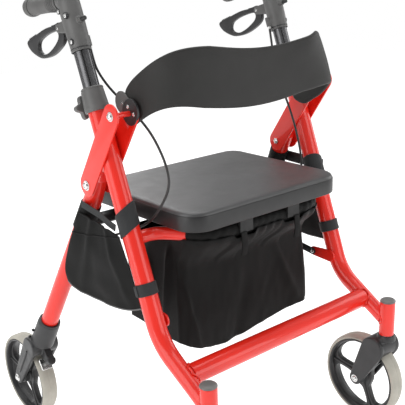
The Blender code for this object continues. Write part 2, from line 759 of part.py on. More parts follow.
def seat_outline(inset):
    """Rounded rectangle of (x, y), with softer corners at the front."""
    half = SEAT_HALF - inset
    lo = front_y + inset
    hi = back_y - inset
    ring = []
    for cx, cy, r, start in ((half, hi, 0.030, 0), (-half, hi, 0.030, 90), (-half, lo, 0.045, 180), (half, lo, 0.045, 270)):
        sx = 1 if cx > 0 else -1
        sy = 1 if cy == hi else -1
        for i in range(5):
            a = math.radians(start + 22.5 * i)
            ring.append((cx - sx * r + r * math.cos(a), cy - sy * r + r * math.sin(a)))
    return ring


def stacked(name, levels):
    """A solid through closed rings of equal count, one above another, from the bottom up."""
    bm = bmesh.new()
    rings = []
    for outline, z in levels:
        rings.append([bm.verts.new((x, y, z)) for x, y in outline])
    for lower, upper in zip(rings, rings[1:]):
        count = len(lower)
        for i in range(count):
            j = (i + 1) % count
            bm.faces.new((lower[i], lower[j], upper[j], upper[i]))
    bm.faces.new(list(reversed(rings[0])))
    bm.faces.new(rings[-1])
    mesh = bpy.data.meshes.new(name)
    bm.to_mesh(mesh)
    bm.free()
    obj = bpy.data.objects.new(name, mesh)
    bpy.context.scene.collection.objects.link(obj)
    return obj


HINGE = (HOOP_FRONT_Y, HOOP_Z)
pad = stacked("seat_cushion", [
    (seat_outline(0.003), 0.5312),
    (seat_outline(0.0), 0.5360),
    (seat_outline(0.0), 0.5530),
    (seat_outline(0.004), 0.5590),
    (seat_outline(0.014), SEAT_TOP),
])
smooth(set_origin(keep(pad, CLOTH), (0, *HINGE)))

board = stacked("seat_board", [(seat_outline(0.004), 0.5246), (seat_outline(0.004), 0.5308)])
clips = []
for name, x in (("clip_left", 0.062), ("clip_right", -0.062)):
    clips.append(block(name, (x - 0.016, HINGE[0] - 0.0165, 0.4990), (x + 0.016, HINGE[0] + 0.0165, 0.5262)))
for name, x in (("rest_left", 0.11), ("rest_right", -0.11)):
    clips.append(block(name, (x - 0.014, rail_y - 0.009, RAIL_Z + RAIL_R + 0.0003), (x + 0.014, rail_y + 0.009, 0.5262)))
board = fuse(board, *clips)
groove = rod("clip_groove", (-0.09, *HINGE), (0.09, *HINGE), RAIL_R + 0.0004, 16)
throat = block("clip_throat", (-0.09, HINGE[0] - RAIL_R - 0.0004, 0.480), (0.09, HINGE[0] + RAIL_R + 0.0004, HINGE[1]))
keep(set_origin(cut(board, groove, throat), (0, *HINGE)), BLACK)

# ---------------------------------------------------------------- backrest

BAND_W = 0.2160
BAND_T = 0.009
BAND_SQUARE = 3.9


def band_point(angle):
    """Centre of the band at an angle of the half turn: where it is, how far forwards and its height."""
    c = math.cos(angle)
    sn = math.sin(angle)
    x = -BAND_W * math.copysign(abs(c) ** (2 / BAND_SQUARE), c)
    forward = abs(sn) ** (2 / BAND_SQUARE)
    bow = 1 - (x / BAND_W) ** 2
    y = -0.0763 - 0.1515 * forward + 0.0215 * bow
    z = 0.7235 + 0.0950 * forward - 0.0455 * bow
    half = 0.0440 + 0.0085 * min(1.0, bow * 1.6)
    return Vector((x, y, z)), half


def ease(t):
    t = min(max(t, 0.0), 1.0)
    return t * t * (3 - 2 * t)


def band_lean(centre, share):
    """How far the left end leans in at its top and flares at its bottom. The share runs from 0 at the bottom to 1."""
    forward = (-0.0763 - centre.y) / 0.1515
    top = Vector((-0.023, 0.019, 0.001)) * (share ** 1.3 * ease(forward / 0.45))
    flare = Vector((0.011 * ease((forward - 0.35) / 0.35), -0.006 * ease(forward / 0.3), 0.0))
    sag = Vector((0.0, 0.0, -0.020 * ease(forward / 0.3) * (1 - 0.7 * ease((forward - 0.45) / 0.30))))
    return ease((centre.x - 0.10) / 0.10) * (top + (flare + sag) * (1 - share))


def band_stations(count):
    """Stations spaced evenly along the band."""
    dense = []
    for i in range(1601):
        t = -1.0 + 2.0 * i / 1600
        swing = math.copysign(abs(t) ** 2, t)
        dense.append(band_point(math.pi / 2 * (1.0 + 0.9990 * swing)))
    lengths = [0.0]
    for (a, _), (b, _) in zip(dense, dense[1:]):
        lengths.append(lengths[-1] + (b - a).length)
    picked = []
    for k in range(count):
        goal = lengths[-1] * k / (count - 1)
        index = min(range(len(lengths)), key=lambda i: abs(lengths[i] - goal))
        picked.append(dense[index])
    return picked


stations = band_stations(25)
bm = bmesh.new()
rings = []
for index, (centre, half) in enumerate(stations):
    ahead = stations[min(index + 1, len(stations) - 1)][0] - stations[max(index - 1, 0)][0]
    out = Vector((ahead.y, -ahead.x, 0.0)).normalized()
    up = Vector((0.0, -0.174, 1.0))
    end = min(index, len(stations) - 1 - index)
    taper = (0.62, 0.86, 0.97, 1.0)[min(end, 3)]
    ring = []
    for u, v in ((-1.0, 0.72), (-0.93, 1.0), (0.0, 1.0), (0.93, 1.0), (1.0, 0.72), (0.93, 1.0), (0.0, 1.0), (-0.93, 1.0)):
        ring.append([u, v])
    for k, pair in enumerate(ring):
        sign = 0.0 if k in (0, 4) else (1.0 if k < 4 else -1.0)
        point = centre + up * (half * taper * pair[0]) + out * (BAND_T / 2 * sign)
        point += band_lean(centre, (pair[0] + 1) / 2)
        ring[k] = bm.verts.new(point)
    rings.append(ring)
for first, second in zip(rings, rings[1:]):
    for k in range(8):
        j = (k + 1) % 8
        bm.faces.new((first[k], first[j], second[j], second[k]))
bm.faces.new(rings[0])
bm.faces.new(list(reversed(rings[-1])))
bmesh.ops.recalc_face_normals(bm, faces=bm.faces)
mesh = bpy.data.meshes.new("backrest_band")
bm.to_mesh(mesh)
bm.free()
band = bpy.data.objects.new("backrest_band", mesh)
bpy.context.scene.collection.objects.link(band)
smooth(set_origin(keep(band, CLOTH), (0, *BACK_PIVOT)), 50)

for side, s in SIDES:
    plate = flat(
        "backrest_plate_" + side,
        [two_circle(BACK_PIVOT, 0.0130, (-0.0850, 0.7440), 0.0200, 9), circle(BACK_PIVOT, 0.0043, 12)],
        s * 0.2218,
        s * 0.2243,
    )
    set_origin(keep(plate, DARK), (s * 0.2230, *BACK_PIVOT))

# ---------------------------------------------------------------- bag

tote = stacked("bag", [
    ([(BAG_X, BAG_Y[0]), (BAG_X, BAG_Y[1]), (-BAG_X, BAG_Y[1]), (-BAG_X, BAG_Y[0])], BAG_Z[0]),
    ([(BAG_X, BAG_Y[0]), (BAG_X, BAG_Y[1]), (-BAG_X, BAG_Y[1]), (-BAG_X, BAG_Y[0])], BAG_Z[1]),
])
wall = 0.003
well = block(
    "bag_well",
    (wall - BAG_X, BAG_Y[0] + wall, BAG_Z[0] + wall),
    (BAG_X - wall, BAG_Y[1] - wall, BAG_Z[1] + 0.02),
)
keep(cut(tote, well), CLOTH)


def sheet_between(name, front, back, thickness):
    """A thin sheet from a front edge to a back edge, each a (top, bottom) pair of points."""
    bm = bmesh.new()
    grid = []
    for i in range(5):
        t = i / 4
        top = Vector(front[0]).lerp(Vector(back[0]), t)
        low = Vector(front[1]).lerp(Vector(back[1]), t)
        grid.append([bm.verts.new(top.lerp(low, j / 3)) for j in range(4)])
    for first, second in zip(grid, grid[1:]):
        for j in range(3):
            bm.faces.new((first[j], first[j + 1], second[j + 1], second[j]))
    mesh = bpy.data.meshes.new(name)
    bm.to_mesh(mesh)
    bm.free()
    obj = bpy.data.objects.new(name, mesh)
    bpy.context.scene.collection.objects.link(obj)
    mod = obj.modifiers.new("thickness", "SOLIDIFY")
    mod.thickness = thickness
    mod.offset = 0.0
    return as_mesh(obj)


for side, s in SIDES:
    out_front = s * (SIDE_X + TUBE_R + 0.0016)
    panel = sheet_between(
        "bag_side_panel_" + side,
        ((s * 0.2710, -0.1020, 0.5050), (s * 0.2670, -0.1470, 0.3790)),
        ((s * (rear_x(0.492) + 0.0205), 0.0400, 0.4920), (s * (rear_x(0.389) + 0.0205), 0.0520, 0.3850)),
        0.002,
    )
    keep(panel, CLOTH)

    upper = turned(
        "bag_upper_strap_" + side,
        [(TUBE_R + WELD, 0.0220), (TUBE_R + 0.0022, 0.0220), (TUBE_R + 0.0022, -0.0220), (TUBE_R + WELD, -0.0220)],
        along_leg(s, 0.5385),
        16,
    )
    strip = sheet_between(
        "strap_strip_" + side,
        ((out_front + s * 0.0002, leg_y(0.546), 0.546), (out_front + s * 0.0002, leg_y(0.527), 0.527)),
        ((s * (rear_x(0.560) + TUBE_R + 0.0030), rear_y(0.560) + 0.004, 0.560),
         (s * (rear_x(0.540) + TUBE_R + 0.0030), rear_y(0.540) + 0.004, 0.540)),
        0.002,
    )
    keep(fuse(upper, strip), CLOTH)
    lower = turned(
        "bag_lower_strap_" + side,
        [(TUBE_R + WELD, 0.0115), (TUBE_R + 0.0022, 0.0115), (TUBE_R + 0.0022, -0.0115), (TUBE_R + WELD, -0.0115)],
        along_leg(s, 0.4185),
        16,
    )
    keep(lower, CLOTH)

# ---------------------------------------------------------------- brake cables

# The right cable bows further forward than the left, and both run down behind the rear legs.
CABLE_UPPER = {
    "right": [
        (0.2215, -0.0080, 0.7980), (0.2130, -0.0230, 0.7700), (0.2030, -0.0480, 0.7440), (0.2010, -0.0960, 0.7180),
        (0.2020, -0.1400, 0.6880), (0.2040, -0.1740, 0.6480), (0.2045, -0.1830, 0.6120), (0.2050, -0.1640, 0.5740),
        (0.2065, -0.1210, 0.5290), (0.2080, -0.0600, 0.4980), (0.2150, 0.0050, 0.4700), (0.2280, 0.0480, 0.4400),
    ],
    "left": [
        (0.2215, -0.0080, 0.7980), (0.2130, -0.0210, 0.7640), (0.2040, -0.0430, 0.7280), (0.2005, -0.0700, 0.6930),
        (0.2005, -0.0890, 0.6550), (0.2005, -0.1010, 0.6240), (0.2010, -0.1110, 0.5880), (0.2030, -0.1130, 0.5560),
        (0.2065, -0.0950, 0.5230), (0.2080, -0.0500, 0.4960), (0.2150, 0.0050, 0.4700), (0.2280, 0.0480, 0.4400),
    ],
}
CABLE_LOWER = [(0.4050, 0.0175, 0.0175), (0.3650, 0.0140, 0.0210), (0.3300, 0.0130, 0.0225), (0.2950, 0.0130, 0.0245)]
for side, s in SIDES:
    start = Vector((s * (SIDE_X - 0.0225), leg_y(0.842) + 0.006, 0.842)) - LEG_UP * 0.0085
    upper = CABLE_UPPER[side]
    route = [start] + [Vector((s * x, y, z)) for x, y, z in upper]
    route += [beside_rear(s, z, inwards, backwards) for z, inwards, backwards in CABLE_LOWER]
    end = cable_end(s) + rear_line(s) * 0.0005
    route += [end + rear_line(s) * 0.0120]
    wire = tube("brake_cable_" + side, flowing(route, 2) + [end], 0.0024, 1)
    wire = as_mesh(wire)
    smooth(keep(wire, BLACK), 60)

for tool in list(cutters.objects):
    tool.hide_set(True)
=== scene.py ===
"""Looks of a four-wheeled rollator walker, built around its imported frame.

Metres, +Z up. The walker's front faces -Y and its left side is +X.
"""

import math

import bmesh
import bpy
import numpy as np
from mathutils import Matrix, Vector, noise


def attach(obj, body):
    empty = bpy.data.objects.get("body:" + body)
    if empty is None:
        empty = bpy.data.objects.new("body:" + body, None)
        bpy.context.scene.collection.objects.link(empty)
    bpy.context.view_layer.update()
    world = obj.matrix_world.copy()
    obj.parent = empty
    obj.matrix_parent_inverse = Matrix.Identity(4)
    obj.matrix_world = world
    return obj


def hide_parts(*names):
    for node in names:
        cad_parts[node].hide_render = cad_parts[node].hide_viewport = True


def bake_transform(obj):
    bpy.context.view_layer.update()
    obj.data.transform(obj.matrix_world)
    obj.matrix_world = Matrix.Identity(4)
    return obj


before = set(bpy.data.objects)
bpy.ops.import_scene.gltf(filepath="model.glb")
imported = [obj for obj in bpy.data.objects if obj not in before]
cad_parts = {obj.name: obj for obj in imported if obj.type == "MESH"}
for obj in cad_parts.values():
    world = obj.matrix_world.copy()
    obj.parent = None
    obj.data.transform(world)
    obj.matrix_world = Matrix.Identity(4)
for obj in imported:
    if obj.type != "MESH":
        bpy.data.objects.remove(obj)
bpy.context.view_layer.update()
SIDES = (("left", 1.0), ("right", -1.0))

# ---------------------------------------------------------------- sizes shared with the frame

WHEEL_R = 0.095
TYRE_W = 0.036
RIM_R = 0.0866
SIDE_X = 0.247
STEM_Y = -0.3205
REAR_X = 0.2965
TUBE_R = 0.018
POST_R = 0.0152
CROSSBAR_R = 0.0195
RAIL_R = 0.012
LEG_LEAN = 0.364
LEG_REF = (-0.1531, 0.4236)
LEG_TOP_Z = 0.746
LEG_KNEE = (-0.1903, 0.3215)
LEG_TOE = (-0.3115, 0.2495)
HOUSING_Z = (0.214, 0.2885)
HOUSING_R = 0.0158
CAP_TOP_Z = 0.2952
PIVOT = (-0.0175, 0.59)
BACK_PIVOT = (-0.1155, 0.729)
PLATE_T = 0.004
REAR_SLOPE = 0.5165
SPLAY = 0.1456
SPLAY_Z = 0.56
REAR_LEG_END_Z = 0.236
CROSSBAR = (-0.2585, 0.281)
HOOP_Z = 0.505
HOOP_FRONT_Y = -0.2085
RAIL_Z = 0.505
SEAT_HALF = 0.195
SEAT_Y = (-0.2315, 0.095)
LINK_A = (-0.1305, 0.358)
LINK_LEN = 0.1175
LINK_REST = math.radians(7.8)
LINK_IN_X = 0.218
GRIP_FRONT = (0.0476, 0.9122)
GRIP_REAR = (0.1695, 0.899)
LEVER_PIN = (0.0565, 0.866)
CLAMP_Z = 0.7265
CASTING_Z = 0.8295
REAR_AXLE = (0.2646, WHEEL_R)
CASTER_AXLE = (-0.2645, WHEEL_R)
BAG_X = 0.17
BAG_Y = (-0.1545, 0.015)
BAG_TOP_Z = 0.4985
BAG_BACK_Z = 0.48
BRACKET_R = 0.0215
WELD_GAP = 0.0004
HOOP_END_Y = -0.1215
ARM_X = (0.0222, 0.0312)
STRAP_Z = 0.545
CABLE_R = 0.0023
STITCH_INSET = 0.0095
PANEL_ROWS, PANEL_COLUMNS = 34, 64

LEG_UP = Vector((0.0, LEG_LEAN, 1.0)).normalized()
LEG_BACK = Vector((0.0, 1.0, -LEG_LEAN)).normalized()
X_AXIS = Vector((1.0, 0.0, 0.0))
GRIP_DIR = Vector((0.0, GRIP_REAR[0] - GRIP_FRONT[0], GRIP_REAR[1] - GRIP_FRONT[1])).normalized()


def leg_y(z):
    return LEG_REF[0] + LEG_LEAN * (z - LEG_REF[1])


def on_leg(s, z):
    return Vector((s * SIDE_X, leg_y(z), z))


def rear_y(z):
    return PIVOT[0] + REAR_SLOPE * (PIVOT[1] - z)


def rear_x(z):
    return SIDE_X + SPLAY * max(0.0, SPLAY_Z - z)


def on_rear(s, z):
    return Vector((s * rear_x(z), rear_y(z), z))


def rear_down(s):
    return (on_rear(s, 0.3) - on_rear(s, 0.45)).normalized()


def ferrule_at(s):
    """Where the brake cable leaves the handle."""
    return Vector((s * (SIDE_X - 0.0225), leg_y(0.842) + 0.006, 0.842))


def turns(count):
    """Angles spaced evenly round a full turn."""
    return [2 * math.pi * k / count for k in range(count)]


def linked(name, data):
    """A new object in the scene."""
    obj = bpy.data.objects.new(name, data)
    bpy.context.scene.collection.objects.link(obj)
    return obj


def ease(t):
    t = max(0.0, min(1.0, t))
    return t * t * (3 - 2 * t)


# ---------------------------------------------------------------- camera, floor and lights

CAM_AT = (-0.9725, -1.2089, 0.9673)
CAM_AZ = math.radians(-39.721)
CAM_EL = math.radians(19.953)
CAM_ROLL = math.radians(-2.132)


def make_camera():
    data = bpy.data.cameras.new("camera")
    data.sensor_width = 36.0
    data.lens = 68.235
    data.shift_x = -0.0151
    data.shift_y = 0.0968
    level = math.cos(CAM_EL)
    back = Vector((math.sin(CAM_AZ) * level, -math.cos(CAM_AZ) * level, math.sin(CAM_EL)))
    right = (-back).cross(Vector((0, 0, 1))).normalized()
    up = right.cross(-back)
    turned_right = right * math.cos(CAM_ROLL) + up * math.sin(CAM_ROLL)
    turned_up = up * math.cos(CAM_ROLL) - right * math.sin(CAM_ROLL)
    basis = Matrix((turned_right, turned_up, back)).transposed().to_4x4()
    camera = linked("camera", data)
    camera.matrix_world = Matrix.Translation(CAM_AT) @ basis
    bpy.context.scene.camera = camera


def area_light(name, at, target_z, size, power):
    data = bpy.data.lights.new(name, "AREA")
    data.shape = "RECTANGLE"
    data.size, data.size_y = size
    data.energy = power
    light = linked(name, data)
    light.location = at
    light.rotation_mode = "QUATERNION"
    light.rotation_quaternion = (Vector((0, 0, target_z)) - Vector(at)).to_track_quat("-Z", "Y")


make_camera()
bpy.context.scene.view_settings.view_transform = "Standard"
area_light("overhead_softbox", (0.1, 0.3, 2.6), 0.4, (2.4, 2.4), 44)
area_light("left_softbox", (-2.4, 0.0, 1.2), 0.5, (1.6, 2.2), 27)
area_light("front_softbox", (0.9, -2.8, 1.1), 0.5, (1.8, 1.6), 22)
area_light("right_softbox", (2.6, -0.6, 1.4), 0.5, (1.4, 1.8), 17)
area_light("back_softbox", (0.6, 2.6, 1.7), 0.5, (2.0, 1.4), 24)
world = bpy.data.worlds.new("studio")
world.use_nodes = True
backdrop = world.node_tree.nodes["Background"]
backdrop.inputs["Color"].default_value = (1, 1, 1, 1)
rays = world.node_tree.nodes.new("ShaderNodeLightPath")
strength = world.node_tree.nodes.new("ShaderNodeMapRange")
strength.inputs["To Min"].default_value = 0.34
strength.inputs["To Max"].default_value = 1.0
world.node_tree.links.new(rays.outputs["Is Camera Ray"], strength.inputs["Value"])
world.node_tree.links.new(strength.outputs["Result"], backdrop.inputs["Strength"])
bpy.context.scene.world = world

# ---------------------------------------------------------------- materials


class Look:
    """A Principled material under construction."""

    def __init__(self, name, colour, roughness, metallic=0.0):
        self.material = bpy.data.materials.new(name)
        self.material.use_nodes = True
        self.tree = self.material.node_tree
        self.shader = self.tree.nodes["Principled BSDF"]
        self.colour, self.roughness = colour, roughness
        self.set({"Base Color": (*colour, 1.0), "Roughness": roughness, "Metallic": metallic})
        self.at = self.node("TexCoord", "Object")
        self.normal = None

    def put(self, socket, value):
        if isinstance(value, bpy.types.NodeSocket):
            self.tree.links.new(value, socket)
        else:
            socket.default_value = value

    def set(self, sockets):
        for name, value in sockets.items():
            self.put(self.shader.inputs[name], value)

    def node(self, kind, output, inputs=None, **settings):
        """An output of a new node, or all of them. An input is given a value or linked to another output."""
        made = self.tree.nodes.new("ShaderNode" + kind)
        for setting, value in settings.items():
            setattr(made, setting, value)
        for socket, value in (inputs or {}).items():
            self.put(made.inputs[socket], value)
        return made.outputs[output] if output else made.outputs

    def noise(self, scale, detail=3.0, roughness=0.5, stretch=None):
        at = self.at
        if stretch is not None:
            at = self.node("Mapping", "Vector", {"Scale": stretch, "Vector": self.at})
        return self.node("TexNoise", "Fac",
                         {"Scale": scale, "Detail": detail, "Roughness": roughness, "Vector": at})

    def cells(self, scale):
        return self.node("TexVoronoi", "Distance", {"Scale": scale, "Vector": self.at}, feature="SMOOTH_F1")

    def math(self, operation, *values):
        return self.node("Math", "Value", dict(enumerate(values)), operation=operation)

    def vector(self, operation, *values):
        return self.node("VectorMath", "Vector", dict(enumerate(values)), operation=operation)

    def ramp(self, value, low, high):
        """Maps the middle of a 0 to 1 value's range onto the range between two numbers."""
        return self.node("MapRange", "Result", {
            "From Min": 0.3, "From Max": 0.7, "To Min": low, "To Max": high, "Value": value})

    def tint(self, value, low, high):
        """Base colour that runs between two multiples of the look's colour."""
        a, b = ((*[min(1.0, c * share) for c in self.colour], 1.0) for share in (low, high))
        mixed = self.node("Mix", "Result", {"A": a, "B": b, "Factor": self.ramp(value, 0.0, 1.0)},
                          data_type="RGBA")
        self.set({"Base Color": mixed})

    def bump(self, height, strength, distance):
        inputs = {"Strength": strength, "Distance": distance, "Height": height}
        if self.normal is not None:
            inputs["Normal"] = self.normal
        self.normal = self.node("Bump", "Normal", inputs)
        self.set({"Normal": self.normal})

    def weave(self, pitch):
        """Over-and-under height of a plain weave, laid on each face by the way it looks."""
        turn = 2 * math.pi / pitch
        scaled = self.vector("MULTIPLY", self.at, (turn, turn, turn))
        waves = self.node("SeparateXYZ", None, {"Vector": self.vector("SINE", scaled)})
        facing = self.vector("ABSOLUTE", self.node("NewGeometry", "Normal"))
        normal = self.node("SeparateXYZ", None, {"Vector": facing})
        parts = [self.math("MULTIPLY", self.math("MULTIPLY", waves[a], waves[b]), normal[axis])
                 for axis, (a, b) in enumerate(((1, 2), (0, 2), (0, 1)))]
        total = self.math("ADD", self.math("ADD", parts[0], parts[1]), parts[2])
        return self.math("MULTIPLY_ADD", total, 0.5, 0.5)


def surface(name, colour, roughness, tint=None, vary=None, bumps=(), sockets=None, weave=None, metallic=0.0):
    """A material whose tint, roughness and bumps follow noises, each given as a tuple of its arguments.

    A bump given by one number follows cells of that scale. weave holds the pitch of a weave, its share
    of the tint, and the strength and distance of its bump.
    """
    look = Look(name, colour, roughness, metallic)
    look.set(sockets or {})
    share = 0
    if weave:
        pitch, share, *depth = weave
        threads = look.weave(pitch)
        look.bump(threads, *depth)
    if tint:
        shade = look.noise(*tint[0])
        if share:
            shade = look.math("MULTIPLY_ADD", shade, 1 - share, look.math("MULTIPLY", threads, share))
        look.tint(shade, *tint[1:])
    if vary:
        look.set({"Roughness": look.ramp(look.noise(*vary[0]), roughness - vary[1], roughness + vary[1])})
    for grain, *depth in bumps:
        look.bump(look.noise(*grain) if isinstance(grain, tuple) else look.cells(grain), *depth)
    return look.material


def sheen(weight, roughness, specular):
    return {"Sheen Weight": weight, "Sheen Roughness": roughness, "Specular IOR Level": specular}


def moulded(name, colour, roughness, grain=1100.0, depth=0.2):
    return surface(name, colour, roughness, ((28.0, 4.0), 0.86, 1.14), ((75.0, 3.0), 0.06),
                   [((grain, 3.0, 0.6), depth, 0.0003)], {"Specular IOR Level": 0.5})


RED = surface(
    "red_gloss_paint", (0.8, 0.02, 0.009), 0.36, ((9.0, 2.0), 0.93, 1.05), ((40.0, 4.0), 0.05),
    [((420.0, 2.0), 0.1, 0.0002)],
    {"Coat Weight": 0.5, "Specular IOR Level": 0.32, "Coat Roughness": 0.07, "Coat IOR": 1.55})
GREY = moulded("grey_plastic", (0.105, 0.104, 0.102), 0.46)
BLACK = moulded("black_plastic", (0.022, 0.022, 0.023), 0.42)
GRIP = moulded("grip_rubber", (0.095, 0.094, 0.092), 0.6, 700.0, 0.4)
PAD = moulded("lever_pad", (0.02, 0.02, 0.02), 0.65, 600.0, 0.4)
CABLE = moulded("cable_sheath", (0.018, 0.018, 0.018), 0.4, 500.0, 0.12)
BOARD = moulded("seat_board_plastic", (0.005, 0.005, 0.005), 0.6)
BLACK_PAINT = moulded("black_enamel", (0.022, 0.022, 0.023), 0.34, 380.0, 0.1)
SEAM = moulded("stitching_thread", (0.05, 0.05, 0.05), 0.7, 900.0, 0.3)
PIPING = moulded("bag_piping", (0.13, 0.13, 0.13), 0.6, 800.0, 0.3)
CAP = moulded("cap_plastic", (0.16, 0.155, 0.15), 0.4)
VINYL = surface("seat_vinyl", (0.034, 0.034, 0.035), 0.46, ((14.0, 5.0), 0.82, 1.2), ((30.0, 4.0), 0.05),
                [(520.0, 0.3, 0.0004), ((120.0, 3.0), 0.06, 0.0006)], sheen(0.05, 0.4, 0.85))
# A darker copy of the seat vinyl: painted shade on the cushion's sides, with the lighter top copy standing
# for the lit top.
SHADED_VINYL = moulded("seat_boxing_shaded_vinyl", (0.01, 0.01, 0.0105), 0.42)
KNIT = surface("back_sleeve", (0.024, 0.0235, 0.0225), 0.62, ((18.0, 4.0), 0.88, 1.12), None,
               [((60.0, 3.0), 0.05, 0.0008)], sheen(0.04, 0.45, 0.25), (0.0011, 0, 0.22, 0.0003))
NYLON = surface("bag_nylon", (0.0065, 0.0064, 0.0062), 0.58, ((22.0, 4.0), 0.75, 1.35), None,
                [((90.0, 4.0), 0.1, 0.001)], sheen(0.04, 0.38, 0.12), (0.0012, 0.4, 0.45, 0.0003))
WEBBING = surface("strap_webbing", (0.026, 0.027, 0.028), 0.62, ((35.0, 3.0), 0.75, 1.3), None,
                  [], sheen(0.06, 0.4, 0.25), (0.0021, 0.5, 0.6, 0.0004))
RUBBER = surface("tyre_rubber", (0.43, 0.41, 0.355), 0.7, ((26.0, 5.0, 0.6), 0.84, 1.1), ((90.0, 3.0), 0.08),
                 [((700.0, 3.0), 0.25, 0.0003)])
STEEL = surface("bare_steel", (0.74, 0.74, 0.73), 0.24, None, ((160.0, 3.0, 0.6), 0.07),
                [((900.0, 2.0), 0.08, 0.0002)], metallic=1.0)
ANODISED = surface(
    "black_anodising", (0.13, 0.13, 0.135), 0.28, ((20.0, 4.0), 0.85, 1.15),
    ((30.0, 3.0, 0.6, (12.0, 12.0, 1.0)), 0.07), [((160.0, 2.0, 0.5, (6.0, 6.0, 0.5)), 0.06, 0.0002)],
    metallic=0.85)
# Near-black painted shade and painted reflection: on the floors of the post's flutes it paints dark
# reflection stripes, and in the yoke's holes it paints the shade inside them.
PAINTED_SHADE = moulded("flute_shadow", (0.006, 0.006, 0.0065), 0.3, 900.0, 0.05)

# ---------------------------------------------------------------- mesh makers


def face_out(mesh, merge=0.0):
    """Turns a mesh's faces outwards, once points nearer than the merge distance are one."""
    bm = bmesh.new()
    bm.from_mesh(mesh)
    if merge:
        bmesh.ops.remove_doubles(bm, verts=bm.verts, dist=merge)
    bmesh.ops.recalc_face_normals(bm, faces=bm.faces)
    bm.to_mesh(mesh)
    bm.free()


def mesh_object(name, verts, faces):
    mesh = bpy.data.meshes.new(name)
    mesh.from_pydata([tuple(v) for v in verts], [], faces)
    mesh.validate()
    face_out(mesh)
    mesh.shade_smooth()
    return linked(name, mesh)


def sharpen(obj, degrees):
    obj.data.shade_smooth()
    obj.data.set_sharp_from_angle(angle=math.radians(degrees))
    return obj


def loft(name, rings, closed_path=False, first_cap=True):
    """Faces between closed rings of equal count, with a flat cap at each end unless the path is closed."""
    count = len(rings[0])
    faces = []
    for i in range(len(rings) if closed_path else len(rings) - 1):
        a, b = i * count, ((i + 1) % len(rings)) * count
        for j in range(count):
            k = (j + 1) % count
            faces.append((a + j, a + k, b + k, b + j))
    if not closed_path:
        if first_cap:
            faces.append(tuple(reversed(range(count))))
        last = (len(rings) - 1) * count
        faces.append(tuple(range(last, last + count)))
    return mesh_object(name, [v for ring in rings for v in ring], faces)


def frames_along(path, closed=False):
    """A frame (side, other side) at each point that turns as little as it can."""
    path = [Vector(p) for p in path]
    count = len(path)
    tangents = []
    for i in range(count):
        before = path[i - 1] if i or closed else path[i]
        after = path[(i + 1) % count] if i + 1 < count or closed else path[i]
        tangents.append((after - before).normalized())
    side = tangents[0].orthogonal().normalized()
    frames = []
    for tangent in tangents:
        side = (side - tangent * side.dot(tangent)).normalized()
        frames.append((side.copy(), tangent.cross(side)))
    return frames


def sweep(name, path, radius, sides=32, closed=False):
    """A round tube along a path. The radius is one number or a list with one for each point."""
    radii = radius if isinstance(radius, list) else [radius] * len(path)
    rings = [[Vector(point) + a * (r * math.cos(turn)) + b * (r * math.sin(turn)) for turn in turns(sides)]
             for point, r, (a, b) in zip(path, radii, frames_along(path, closed))]
    return sharpen(loft(name, rings, closed), 50)


def ribbon(name, path, across, width, thickness, crown=0.0):
    """A flat strap along a path, with rounded edges. across is its width direction."""
    rings = []
    path = [Vector(point) for point in path]
    for i, point in enumerate(path):
        tangent = (path[min(i + 1, len(path) - 1)] - path[max(i - 1, 0)]).normalized()
        wide = Vector(across).normalized()
        wide = (wide - tangent * wide.dot(tangent)).normalized()
        up = tangent.cross(wide)
        rings.append([
            point + wide * (width / 2 * u) + up * (v * thickness / 2 + crown * (1 - u * u))
            for u,
            v in ((-1, 0), (-0.94, 1), (-0.5, 1), (0, 1), (0.5, 1), (0.94, 1), (1, 0), (0.94, -1), (0, -1),
                         (-0.94, -1))])
    return sharpen(loft(name, rings), 60)


def lathe(name, profile, at, axis, steps=64, soft=0.0, sharp=30):
    """A closed profile of (radius, height) points turned about an axis."""
    if soft:
        profile = rounded(profile, soft)
    turn = Vector(axis).to_track_quat("Z", "Y").to_matrix()
    at = Vector(at)
    verts, faces, rings = [], [], []
    for r, h in profile:
        angles = turns(steps) if r >= 1e-7 else [0.0]
        rings.append(range(len(verts), len(verts) + len(angles)))
        verts += [at + turn @ Vector((r * math.cos(a), r * math.sin(a), h)) for a in angles]
    whole = profile[0][0] > 1e-7 and profile[-1][0] > 1e-7
    pairs = list(zip(rings, rings[1:])) + ([(rings[-1], rings[0])] if whole else [])
    for one, two in pairs:
        for k in range(steps):
            j = (k + 1) % steps
            if len(one) == 1 and len(two) == 1:
                continue
            if len(one) == 1:
                faces.append((one[0], two[k], two[j]))
            elif len(two) == 1:
                faces.append((one[j], one[k], two[0]))
            else:
                faces.append((one[k], one[j], two[j], two[k]))
    return sharpen(mesh_object(name, verts, faces), sharp)


def corner_arc(first, corner, last, count):
    """Points along a curve from one point to another that bends towards a corner."""
    shares = [i / count for i in range(count + 1)]
    return [first * (1 - t) ** 2 + corner * 2 * t * (1 - t) + last * t * t for t in shares]


def rounded(profile, radius):
    """Rounds the inner corners of a polyline of 2D points."""
    made = [profile[0]]
    for before, corner, after in zip(profile, profile[1:], profile[2:]):
        a, c, b = Vector(before), Vector(corner), Vector(after)
        first, last = (c + (p - c).normalized() * min(radius, (p - c).length * 0.45) for p in (a, b))
        made += [(p.x, p.y) for p in corner_arc(first, c, last, 4)]
    return made + [profile[-1]]


def filleted(points, radius, count=10):
    """A polyline with each inner corner rounded."""
    points = [Vector(p) for p in points]
    path = [points[0]]
    for before, corner, after in zip(points, points[1:], points[2:]):
        back, ahead = (before - corner).normalized(), (after - corner).normalized()
        reach = radius / math.tan(back.angle(ahead) / 2)
        reach = min(reach, 0.45 * (before - corner).length, 0.45 * (after - corner).length)
        path += corner_arc(corner + back * reach, corner, corner + ahead * reach, count)
    return path + [points[-1]]


